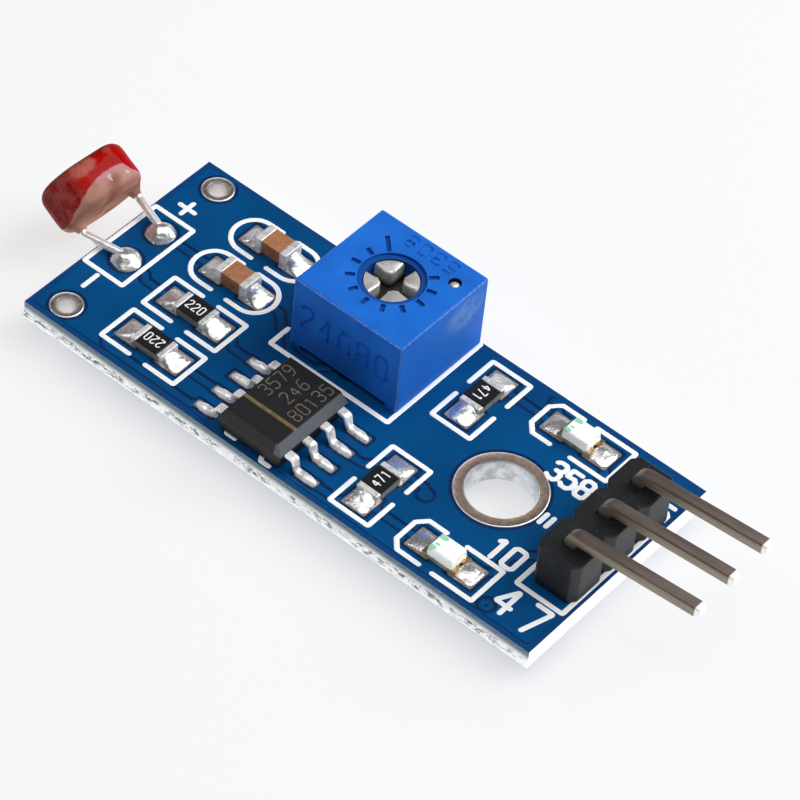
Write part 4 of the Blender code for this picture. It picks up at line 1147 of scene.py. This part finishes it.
def buildPrint():
    pen = {"width": 0.265, "height": 0.022, "corner": 0.05}
    lines = [
        [(0.2, -2.68), (2.7, -2.68), (2.7, 2.5), (0.2, 2.5), (0.2, -2.68)],  # round the cell's leads
        [(1.35, -4.0), (1.35, -3.0)],  # a minus
        [(1.45, 2.98), (1.45, 3.9)],  # and a plus
        [(0.98, 3.44), (1.92, 3.44)],
    ]
    # Square brackets round two resistors, and bowed ones round the capacitors
    for y in columnRows[:2]:
        for side in (-1, 1):
            near, far = 6.5 + side * 0.52, 6.5 + side * 2.33
            lines.append([(near, y + 1.16), (far, y + 1.16), (far, y - 1.16), (near, y - 1.16)])
    arc = [math.pi * k / 14 for k in range(15)]
    for y in columnRows[2:]:
        for side in (-1, 1):
            near = 6.45 + side * 0.5
            bow = [(6.45 + side * (1.35 + 1.12 * math.sin(a)), y + 1.2 * math.cos(a)) for a in arc]
            lines.append([(near, y + 1.2), *bow, (near, y - 1.2)])
    # Brackets round the other two resistors, then an outline with cut corners round each lamp
    for low, high in ((-6.05, -1.46), (1.42, 6.08)):
        middle = (low + high) / 2.0
        for end, gap in ((low, -0.52), (high, 0.52)):
            lines.append([(18.95, middle + gap), (18.95, end), (21.3, end), (21.3, middle + gap)])
    for sign in (-1, 1):
        inner, outer, cut = 3.83 * sign, 6.2 * sign, 0.5 * sign
        lines.append([(24.25, inner), (23.2, inner), (22.75, inner + cut), (22.75, outer - cut),
                      (23.2, outer), (24.5, outer)])
        lines.append([(25.5, inner), (27.65, inner), (27.65, outer), (25.3, outer)])
    # The trimmer's frame, the header's frame, two ticks, and two hooks at the chip
    lines.append([(10.4, 0.8), (10.4, -0.5), (17.8, -0.5), (17.8, 6.55), (10.4, 6.55), (10.4, 5.4)])
    lines.append([(28.5, 4.75), (28.5, -3.9), (31.2, -3.9), (31.2, 3.1)])
    lines += [[(26.95, -0.32), (26.95, 0.32)], [(27.35, -0.32), (27.35, 0.32)]]
    for x, y in ((12.75, -6.0), (15.05, -6.2)):
        lines.append([(x + 0.5, y - 0.3), (x, y - 0.3), (x - 0.14, y - 0.05), (x, y + 0.2),
                      (x + 0.2, y + 0.24)])
    # Plain numbers, each with its centre and height
    labels = [
        ("10", (27.05, -2.9), 1.3),
        ("358", (26.42, 2.74), 1.15),
        ("4", (28.85, -5.0), 1.7),
        ("7", (30.5, -5.1), 1.7),
        ("5", (30.84, 4.16), 1.15),
    ]
    for label, place, height in labels:
        lines += written(label, place, height, 0.0, 2.9)
    mesh = strokes(lines, pen["width"], pen["height"], pen["corner"], ink, board["pour"])
    finishPiece("whitePrint", mesh, sharp=60.0)


buildPrint()


def buildSnappedEdge():
    # The rough web that is left along each long side where boards were snapped apart
    web = {"low": -1.14, "high": -0.58, "proud": 0.1, "columns": 420, "rows": 9}
    shapes = []
    for side in (-1, 1):
        rings = []
        for i in range(web["columns"] + 1):
            x = board["length"] * i / web["columns"]
            ring = [(x, side * (board["width"] / 2.0 - 0.05), web["high"])]
            for k in range(web["rows"] + 1):
                share = k / web["rows"]
                z = web["high"] + (web["low"] - web["high"]) * share
                rough = noise.fractal(Vector((x * 1.7, z * 5.0, side * 9.0)), 1.0, 2.0, 4)
                proud = web["proud"] * math.sin(math.pi * share) ** 0.5 * (0.75 + 0.7 * rough)
                ring.append((x, side * (board["width"] / 2.0 + max(proud, -0.02)), z))
            ring.append((x, side * (board["width"] / 2.0 - 0.05), web["low"]))
            rings.append(ring)
        shapes.append(loft(rings))
    finishPiece("snappedEdges", join(shapes), brokenFinish(), sharp=50.0)


buildSnappedEdge()

# Plated holes
print("plated holes")


def platedRing(inner, outer, centre, steps):
    # A turned eyelet with round lips at its inner and outer edges
    lip, low, top = 0.05, -board["thick"], 0.075
    profile = [
        (inner, low + 0.1), (inner, -0.1), (inner + 0.01, 0.03), (inner + lip, top),
        (inner + 2 * lip, top - 0.012), (outer - 2 * lip, top - 0.018), (outer - lip, top),
        (outer - 0.01, top - 0.02), (outer, 0.0), (outer, -0.02), (inner + 0.06, -0.02),
        (inner + 0.06, low + 0.02), (outer, low + 0.02), (outer, low), (outer - 0.01, low - 0.055),
        (outer - lip, low - 0.075), (inner + lip, low - 0.075), (inner + 0.01, low - 0.03),
    ]
    return lathe(profile, steps, True, centre)


finishPiece("mountingRing", platedRing(1.74, 2.34, parts["mountHole"], 128), ringFinish(),
            replaces=["mounting_hole_plating"])
for name, place in zip(("left", "right"), parts["corners"]):
    finishPiece("cornerRing_" + name, platedRing(0.48, 0.86, place, 72), eyeletFinish(),
                replaces=["corner_eyelet_" + name])

# Chip parts
print("chip resistors, capacitors and lamps")


def solderPool(length, width, height):
    # A concave fillet that runs from a face at x = 0 down to the end of its pad, which is round past its toe
    pool = {"toe": 0.75, "columns": 14, "rows": 12}
    toe = pool["toe"]
    rings = []
    for i in range(pool["columns"] + 1):
        u = i / pool["columns"]
        edge = math.sqrt(max(1.0 - max(u - toe, 0.0) ** 2 / (1.0 - toe) ** 2, 0.0))
        crest = height * (1.0 - u) ** 2.3 + 0.13 * math.sin(math.pi * u) ** 0.7 * (1.0 - u * 0.3) + 0.03
        crest *= 0.25 + 0.75 * edge
        half = width / 2.0 * (0.35 + 0.65 * edge)
        ring = []
        for k in range(pool["rows"] + 1):
            v = -1.0 + 2.0 * k / pool["rows"]
            ring.append((length * u, half * v, 0.02 + crest * (1.0 - abs(v) ** 2.6)))
        rings.append(ring + [(length * u, half, 0.0), (length * u, -half, 0.0)])
    return loft(rings)


def buildEnds(name, wrap, height, fillet):
    # End caps and solder at both ends of each part of one kind
    places = []
    for x, y, turn in parts[name + "s"]:
        for facing in (turn + 180.0, turn):
            shift = Matrix.Rotation(math.radians(facing), 2) @ Vector((1.0, 0.0))
            places.append(((x + shift.x, y + shift.y, 0.0), facing))
    replaced = [f"{name}_{i + 1}_end_{end}" for i in range(len(parts[name + "s"])) for end in "ab"]
    block = pillow(wrap, 1.25, 0.0, height, 0.05, 0.06, 0.0, (-wrap / 2.0, 0.0))
    caps = copies(block, places, capMetal, 0.015, 2.0)
    finishPiece(name + "Caps", caps, replaces=replaced, sharp=60.0)
    pools = copies(solderPool(0.98, 1.36, fillet), places, solder, 0.07, 2.6)
    finishPiece(name + "Solder", pools, sharp=80.0)


buildEnds("resistor", 0.32, 0.5, 0.4)
buildEnds("capacitor", 0.42, 0.88, 0.62)
for kind, material in (("resistor", resistorFinish()), ("capacitor", capacitorFinish())):
    for i in range(len(parts[kind + "s"])):
        dress(f"{kind}_{i + 1}_body", material)


def buildValues():
    # A plain number on each resistor
    marks = [("220", 180.0), ("220", 0.0), ("471", 0.0), ("471", 180.0)]
    lines = []
    for (x, y, turn), (number, facing) in zip(parts["resistors"], marks):
        lines += written(number, (x, y), 0.52, turn + facing, 3.4, 0.84)
    finishPiece("resistorNumbers", strokes(lines, 0.07, 0.008, 0.03, ink, 0.531))


buildValues()


def buildLamps():
    lens = {
        "length": 1.56,
        "width": 1.22,
        "low": 0.28,
        "high": 0.8,
        "corner": 0.12,
        "edge": 0.1,
        "taper": 0.05,
    }
    terminal = {"outer": 0.33, "inner": 0.2, "half": 0.6, "deep": 0.32, "top": 0.34}
    shapes = []
    places = []
    for x, y, turn in parts["leds"]:
        shapes.append(pillow(**lens, centre=(x, y)))
        places += [((x - 1.0, y, 0.0), 180.0), ((x + 1.0, y, 0.0), 0.0)]
    replaced = ["led_1_lens", "led_2_lens"]
    finishPiece("lampLenses", join(shapes), lensFinish(), replaces=replaced, sharp=60.0)
    base = ledBaseFinish()
    for node in ("led_1_base", "led_2_base"):
        dress(node, base)
    # Half-round terminals that line the notch at each end, and the solder that runs into them
    arc = [math.radians(95.0 + 170.0 * k / 16) for k in range(17)]
    outer = [(terminal["outer"] * math.cos(a), terminal["outer"] * math.sin(a)) for a in arc]
    inner = [(terminal["inner"] * math.cos(a), terminal["inner"] * math.sin(a)) for a in reversed(arc)]
    metal = [plate(outer + inner, 0.02, terminal["top"])]
    for low, high in ((-terminal["half"], -0.3), (0.3, terminal["half"])):
        tab = [(-terminal["deep"], low), (0.0, low), (0.0, high), (-terminal["deep"], high)]
        metal.append(plate(tab, 0.0, terminal["top"] - 0.03))
    replaced = [f"led_{i}_end_{end}" for i in (1, 2) for end in "ab"]
    ends = copies(join(metal), places, goldFinish(), 0.01, 2.0)
    finishPiece("lampTerminals", ends, replaces=replaced, sharp=50.0)
    pool = solderPool(1.1, 1.34, 0.16)
    bmesh.ops.translate(pool, vec=(-0.12, 0.0, 0.0), verts=pool.verts)
    finishPiece("lampSolder", copies(pool, places, solder, 0.08, 2.4), sharp=80.0)


buildLamps()

# Comparator
print("comparator")


def buildComparator():
    lead = {"shoulder": 0.5, "foot": 0.4, "thick": 0.2, "knee": 0.17, "corner": 0.07, "root": 1.95}
    path = bend([(-0.05, 0, 0.81), (0.42, 0, 0.81), (0.62, 0, 0.12), (1.12, 0, 0.11)], lead["knee"], 8)
    section = [(v, u) for u, v in rounded(lead["thick"], lead["foot"], lead["corner"], 3)]
    strip = sweep(path, section, (0, 1, 0))
    for vert in strip.verts:
        share = max(0.0, min(1.0, (vert.co.z - 0.35) / 0.35))
        vert.co.y *= 1.0 + (lead["shoulder"] / lead["foot"] - 1.0) * share
    # Solder lies over each foot as a long drop
    curve = [math.radians(90.0 * i / 7) for i in range(7)]
    drop = lathe([(0, 0.0), *[(math.cos(a), math.sin(a)) for a in curve], (0, 1.0)], 40)
    bmesh.ops.scale(drop, vec=(0.66, 0.27, 0.25), verts=drop.verts)
    bmesh.ops.translate(drop, vec=(1.14, 0.0, 0.01), verts=drop.verts)
    places = []
    for sign, turn in ((1, 0.0), (-1, 180.0)):
        places += [((parts["chip"][0] + sign * lead["root"], y, 0.0), turn) for y in chipRows]
    replaced = [f"comparator_lead_{i + 1}" for i in range(8)]
    mesh = copies(join([strip, drop]), places, leadTin, 0.1, 2.6)
    finishPiece("comparatorLeads", mesh, replaces=replaced, sharp=70.0)
    body = carve(packedMesh("comparator_body"), [], bevel=0.035, segments=3, angle=20.0)
    replaced = ["comparator_body"]
    finishPiece("comparatorShell", body, chipFinish(), replaces=replaced, sharp=12.0)
    lines = []
    for number, x in (("3579", 13.1), ("246", 14.15), ("80135", 15.2)):
        lines += written(number, (x, -3.2), 0.72, 90.0, 3.2)
    marks = strokes(lines, 0.07, 0.004, 0.05, laserFinish(), boardBox("comparator_body")[1].z)
    finishPiece("laserNumbers", marks)


brightTin = solderFinish(
    "wireTin", tone=(0.97, 0.965, 0.96), stain=(0.62, 0.58, 0.54), gloss=0.26, relief=0.12, metal=0.6
)
# The comparator's leads get a painted glow on top of their tin colour
leadTin = solderFinish(
    "leadTin", tone=(0.98, 0.975, 0.965), stain=(0.14, 0.1, 0.07), gloss=0.24, relief=0.25, metal=0.5,
    glow=0.1, clean=0.46
)
buildComparator()

# Trimmer
print("trimmer")


def buildTrimmer():
    low, high = boardBox("trimmer_housing")
    centre = (low + high) / 2.0
    # A number sunk in the side, drawn flat and then stood up against it
    grooves = strokes(written("24680", (-0.05, 0.0), 1.5, 0.0, 3.5, 0.88), 0.19, 0.11, 0.025, pourBlue, 0.0)
    upright = Matrix.Rotation(math.radians(90.0), 4, "X")
    grooves.transform(Matrix.Translation((centre.x, low.y, centre.z + 0.15)) @ upright)
    # and a smaller one in the top, beyond the dial
    topLines = written("5308", (centre.x + 0.35, high.y - 0.75), 0.75, 180.0, 3.4, 1.3)
    topGrooves = strokes(topLines, 0.13, 0.05, 0.02, pourBlue, high.z)
    body = carve(packedMesh("trimmer_housing"), [grooves, topGrooves], bevel=0.035, segments=2, angle=30.0)
    replaced = ["trimmer_housing"]
    finishPiece("trimmerShell", body, trimmerFinish(), replaces=replaced, sharp=15.0)
    # The end of one post shows as a bright dot in its hole
    top = boardBox("trimmer_pin_3")[1].z
    dot = [(0, top - 0.05), (0.22, top - 0.05), (0.22, top), (0.19, top + 0.06), (0.1, top + 0.1),
           (0, top + 0.11)]
    finishPiece("postTip", lathe(dot, 24, centre=parts["trimmerPins"][2]), brightTin)


def buildRotor():
    # Four quarters of a disc stand on a drum, and leave a cross slot with round inner corners.
    low, high = boardBox("trimmer_rotor")
    rotor = {
        "radius": 1.36,
        "slot": 0.3,
        "tip": 0.3,
        "floor": high.z - 1.0,
        "edge": 0.13,
        "drum": 2.2,
        "step": 0.7,
    }
    radius, slot, tip, floor = (rotor[key] for key in ("radius", "slot", "tip", "floor"))
    first = math.atan2(slot, math.sqrt(radius ** 2 - slot ** 2))
    rim = [first + (math.pi / 2.0 - 2.0 * first) * i / 18 for i in range(19)]
    bow = [math.radians(180.0 + 90.0 * i / 8) for i in range(9)]
    outline = [(radius * math.cos(a), radius * math.sin(a)) for a in rim]
    outline += [(slot + tip + tip * math.cos(a), slot + tip + tip * math.sin(a)) for a in bow]
    shapes = []
    for quarter in range(4):
        turn = Matrix.Rotation(math.radians(90.0 * quarter), 2)
        places = [turn @ Vector(p) for p in outline]
        petal = plate([(p.x, p.y) for p in places], floor - 0.1, high.z)
        edges = [e for e in petal.edges if all(v.co.z > high.z - 0.001 for v in e.verts)]
        bmesh.ops.bevel(petal, geom=edges, offset=rotor["edge"], segments=4, affect="EDGES", profile=0.5)
        shapes.append(petal)
    wide, shelf = rotor["drum"], low.z + rotor["step"]
    drum = [(0, low.z), (wide, low.z), (wide, shelf), (radius, shelf), (radius, floor), (0, floor - 0.06)]
    shapes.append(lathe(drum, 64))
    whole = join(shapes)
    bmesh.ops.translate(whole, vec=(*parts["trimmer"], 0.0), verts=whole.verts)
    finishPiece("rotorCross", whole, rotorFinish(), body="rotor", replaces=["trimmer_rotor"])


buildTrimmer()
buildRotor()

# Header
print("header")


def buildHeader():
    body = carve(packedMesh("header_housing"), [], bevel=0.09, segments=3, angle=30.0)
    replaced = ["header_housing"]
    finishPiece("headerBlock", body, headerFinish(), replaces=replaced, sharp=12.0)
    low, high = boardBox("header_pin_1")
    pin = {"side": 0.64, "bend": 0.52, "corner": 0.1, "rise": 5.0, "point": 0.2, "taper": 0.7}
    section = rounded(pin["side"], pin["side"], pin["corner"], 3)
    knee = boardBox("header_housing")[1].z + pin["bend"] + 0.04
    run = high.x - parts["headerPins"][0][0] - pin["point"]
    slope = math.tan(math.radians(pin["rise"]))
    under = -board["thick"]
    cone = [(0, under - 0.8), (0.36, under - 0.76), (0.46, under - 0.5), (0.6, under - 0.24),
            (0.85, under - 0.05), (0.88, under), (0, under)]
    pins, joints = [], []
    for x, y in parts["headerPins"]:
        path = bend([(x, y, low.z), (x, y, knee), (x + run, y, knee + run * slope)], pin["bend"], 20)
        path.append(path[-1] + Vector((pin["point"], 0.0, pin["point"] * slope)))
        wire = sweep(path, section, (0, 1, 0))
        for vert in wire.verts:
            if vert.co.x > x + run + pin["point"] / 2.0:
                vert.co = path[-1] + (vert.co - path[-1]) * pin["taper"]
        pins.append(wire)
        joints.append(ruffle(lathe(cone, 40, centre=(x, y)), 0.04, 2.0, y))
    replaced = ["header_pin_1", "header_pin_2", "header_pin_3"]
    finishPiece("headerWires", join(pins), pinFinish(knee, slope), replaces=replaced, sharp=50.0)
    finishPiece("headerJoints", join(joints), solder, sharp=60.0)


buildHeader()

# Light cell
print("light cell")


def buildCell():
    cell = {
        "place": (-0.93, 0.1, 0.77),
        "tilt": 27.0,
        "turn": -4.6,
        "roll": -3.0,
        "radius": 2.4,
        "flat": 2.03,  # from the middle to each of its two flat sides
        "thick": 2.5,
        "round": 0.6,
        "spread": 1.8,  # from the middle to each lead
        "wire": 0.22,
        "steps": 112,
    }
    turn = Euler((0.0, math.radians(cell["tilt"] - 90.0), math.radians(cell["turn"]))).to_matrix()
    turn = turn @ Matrix.Rotation(math.radians(cell["roll"]), 3, "Z")
    axes = Matrix.Translation(cell["place"]) @ turn.to_4x4()
    r, t, b = cell["radius"], cell["thick"], cell["round"]
    # The profile from the middle of the back, round the rim, to the recess in the front
    arc = [math.radians(-90.0 + 90.0 * i / 10) for i in range(11)]
    back = [(r - b + b * math.cos(a), b + b * math.sin(a)) for a in arc]
    front = [(r - b + b * math.cos(a), t - b - b * math.sin(a)) for a in reversed(arc)]
    waist = [(r + 0.01, b + (t - 2 * b) * i / 6) for i in range(1, 6)]
    window = [(r - b, t), (r - b - 0.02, t - 0.1), (0.9, t - 0.105)]
    rings = [[(0.0, 0.0, 0.03)]]
    for radius, height in [(0.9, 0.02), *back, *waist, *front, *window]:
        flat = max(cell["flat"] - r + radius, 0.3)
        ring = []
        for k in range(cell["steps"]):
            a = 2.0 * math.pi * k / cell["steps"]
            x, y = radius * math.cos(a), radius * math.sin(a)
            over = abs(x) / flat
            # Past the middle it bends round into the flat rather than breaking off at it
            if radius < 1.0:
                held = flat * min(over, 1.0)
            else:
                held = flat * over / (1.0 + over ** 12.0) ** (1.0 / 12.0)
            ring.append((math.copysign(held, x), y, height))
        rings.append(ring)
    rings.append([(0.0, 0.0, t - 0.105)])
    shapes = [ruffle(loft(rings), 0.028, 0.7, 3.0)]
    # Resin that crept a little way down each lead
    creep = [(0, 0.3), (0.56, 0.2), (0.42, 0.0), (0.33, -0.1), (0.28, -0.2), (0.262, -0.3), (0, -0.31)]
    for sign in (-1, 1):
        cone = ruffle(lathe(creep, 40), 0.02, 2.0, sign * 5.0)
        bmesh.ops.translate(cone, vec=(0.0, sign * (cell["spread"] - 0.02), 0.0), verts=cone.verts)
        shapes.append(cone)
    whole = join(shapes)
    bmesh.ops.transform(whole, matrix=axes, verts=whole.verts)
    resin = cellFinish(toFrame @ axes)
    finishPiece("cellCoat", whole, resin, replaces=["light_cell_body"], sharp=60.0)

    under = -board["thick"]
    angles = [2 * math.pi * k / 20 for k in range(20)]
    circle = [(cell["wire"] * math.cos(a), cell["wire"] * math.sin(a)) for a in angles]
    # Solder from its point under the board to the dome that the wire comes out of
    dome = [
        (0, under - 0.85), (0.26, under - 0.82), (0.36, under - 0.45), (0.55, under - 0.2),
        (0.8, under - 0.02), (0.8, under), (0.44, under), (0.44, 0), (0.8, 0.0), (0.8, 0.04),
        (0.74, 0.12), (0.64, 0.22), (0.5, 0.34), (0.38, 0.45), (0.26, 0.52), (0, 0.56),
    ]
    for name, (x, y) in zip(("plus", "minus"), parts["cellHoles"]):
        sign = 1.0 if y > 0.0 else -1.0
        low = boardBox("light_cell_lead_" + name)[0]
        out = [axes @ Vector((0, sign * cell["spread"], depth)) for depth in (-0.5, 0.4)]
        wire = sweep(bend([(x, y, low.z), (x, y, 0.35), *out], 0.34, 10), circle, (0, 1, 0))
        finishPiece("cellWire_" + name, wire, brightTin, replaces=["light_cell_lead_" + name], sharp=60.0)
        blob = ruffle(lathe(dome, 48, centre=(x, y)), 0.11, 1.3, 7.0 + sign)
        finishPiece("cellJoint_" + name, blob, solder, sharp=60.0)


buildCell()

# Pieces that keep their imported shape
print("other finishes")
keptFinishes = {
    "light_cell_track": plainFinish("cellTrack", (0.6, 0.16, 0.04), (0.75, 0.25, 0.07), 0.5),
    "trimmer_base": plainFinish("trimmerBase", linear(24, 80, 160), linear(30, 96, 184), 0.6),
    "trimmer_wiper": plainFinish("wiperBrass", (0.7, 0.5, 0.22), (0.8, 0.6, 0.3), 0.3, 1.0),
    "trimmer_seal_ring": plainFinish("sealRubber", (0.02, 0.02, 0.02), (0.05, 0.05, 0.05), 0.7),
    "trimmer_resistor_element": plainFinish("elementCeramic", (0.7, 0.69, 0.66), (0.84, 0.83, 0.8), 0.6),
}
for number in (1, 2, 3):
    keptFinishes[f"trimmer_pin_{number}"] = brightTin
for name, material in keptFinishes.items():
    dress(name, material)

# Floor, light and camera
print("floor, light and camera")


def cameraShare(tree):
    # 1 where the camera looks straight at a surface, and 0 for light that reaches other surfaces
    return tree.nodes.new("ShaderNodeLightPath").outputs["Is Camera Ray"]


def mixed(tree, share, first, second):
    mix = tree.nodes.new("ShaderNodeMix")
    mix.data_type = "RGBA"
    for index, value in ((6, first), (7, second)):
        if isinstance(value, bpy.types.NodeSocket):
            tree.links.new(value, mix.inputs[index])
        else:
            mix.inputs[index].default_value = (*value, 1.0)
    tree.links.new(share, mix.inputs["Factor"])
    return mix.outputs[2]


def buildFloor():
    # The floor glows: softly where the camera sees it, so that shadows stay faint, and more for the object.
    floor = {
        "half": 0.6,
        "colour": (0.32, 0.322, 0.324),
        "seen": (0.635, 0.637, 0.642),
        "cast": (0.85, 0.86, 0.88),
    }
    shape = bmesh.new()
    h = floor["half"]
    shape.faces.new([shape.verts.new(p) for p in ((-h, -h, 0), (h, -h, 0), (h, h, 0), (-h, h, 0))])
    material = bpy.data.materials.new("paleFloor")
    material.use_nodes = True
    tree = material.node_tree
    shader = tree.nodes["Principled BSDF"]
    shader.inputs["Base Color"].default_value = (*floor["colour"], 1.0)
    shader.inputs["Roughness"].default_value = 0.9
    shader.inputs["Specular IOR Level"].default_value = 0.0
    glow = mixed(tree, cameraShare(tree), floor["cast"], floor["seen"])
    tree.links.new(glow, shader.inputs["Emission Color"])
    shader.inputs["Emission Strength"].default_value = 1.0
    mesh = asMesh("floor", shape)
    mesh.materials.append(material)
    placed("floor", mesh)


def buildWorld():
    # Pale near the horizon on the far side and dim elsewhere, so that level metal goes dark
    sky = {
        "pale": (0.5, 0.51, 0.53),
        "near": (0.2, 0.204, 0.212),
        "dim": (0.055, 0.057, 0.063),
        "seen": (0.94, 0.942, 0.947),
    }
    world = bpy.data.worlds.new("studio")
    bpy.context.scene.world = world
    world.use_nodes = True
    tree = world.node_tree
    tree.nodes.clear()
    where = tree.nodes.new("ShaderNodeTexCoord")
    split = tree.nodes.new("ShaderNodeSeparateXYZ")
    tree.links.new(where.outputs["Generated"], split.inputs[0])

    def fade(socket, low, high):
        ramp = tree.nodes.new("ShaderNodeMapRange")
        ramp.interpolation_type = "SMOOTHSTEP"
        ramp.inputs["From Min"].default_value = low
        ramp.inputs["From Max"].default_value = high
        tree.links.new(socket, ramp.inputs["Value"])
        return ramp.outputs[0]

    rising = fade(split.outputs["Z"], 0.12, 0.6)
    near = fade(split.outputs["Y"], 0.1, -0.9)
    level = mixed(tree, near, sky["pale"], sky["near"])
    colour = mixed(tree, rising, level, sky["dim"])
    shown = mixed(tree, cameraShare(tree), colour, sky["seen"])
    light = tree.nodes.new("ShaderNodeBackground")
    tree.links.new(shown, light.inputs["Color"])
    output = tree.nodes.new("ShaderNodeOutputWorld")
    tree.links.new(light.outputs[0], output.inputs[0])


def addLamp(name, way, distance, size, power):
    # A round lamp that looks at the middle of the board
    lamp = bpy.data.lights.new(name, "AREA")
    lamp.shape = "DISK"
    lamp.size = size
    lamp.energy = power
    holder = placed(name, lamp)
    holder.location = Vector(way).normalized() * distance
    holder.rotation_euler = (-holder.location).to_track_quat("-Z", "Y").to_euler()


def buildCamera():
    # Its place is in board millimetres and its angles in degrees.
    view = {
        "place": (94.72, -108.327, 147.285),
        "azimuth": 35.296,
        "down": 47.703,
        "roll": 6.461,
        "lens": 187.5,
        "sensor": 36.0,
        "clip": (0.01, 10.0),
    }
    azimuth, down, roll = (math.radians(view[key]) for key in ("azimuth", "down", "roll"))
    ahead = Vector((-math.sin(azimuth) * math.cos(down), math.cos(azimuth) * math.cos(down), -math.sin(down)))
    level = Vector((math.cos(azimuth), math.sin(azimuth), 0.0))
    above = level.cross(ahead)
    right = level * math.cos(roll) + above * math.sin(roll)
    up = above * math.cos(roll) - level * math.sin(roll)
    camera = bpy.data.cameras.new("camera")
    camera.lens = view["lens"]
    camera.sensor_width = view["sensor"]
    camera.clip_start, camera.clip_end = view["clip"]
    turn = Matrix((right, up, -ahead)).transposed().to_4x4()
    holder = placed("camera", camera)
    holder.matrix_world = Matrix.Translation(toFrame @ Vector(view["place"])) @ turn
    bpy.context.scene.camera = holder


buildFloor()
buildWorld()
addLamp("keyLight", (0.56, 0.62, 0.78), 0.42, 0.36, 1.5)
addLamp("topLight", (0.05, -0.1, 1.0), 0.42, 0.44, 0.7)
addLamp("glintLight", (-0.75, -0.3, 0.7), 0.42, 0.09, 0.12)
buildCamera()
bpy.context.scene.view_settings.view_transform = "Standard"
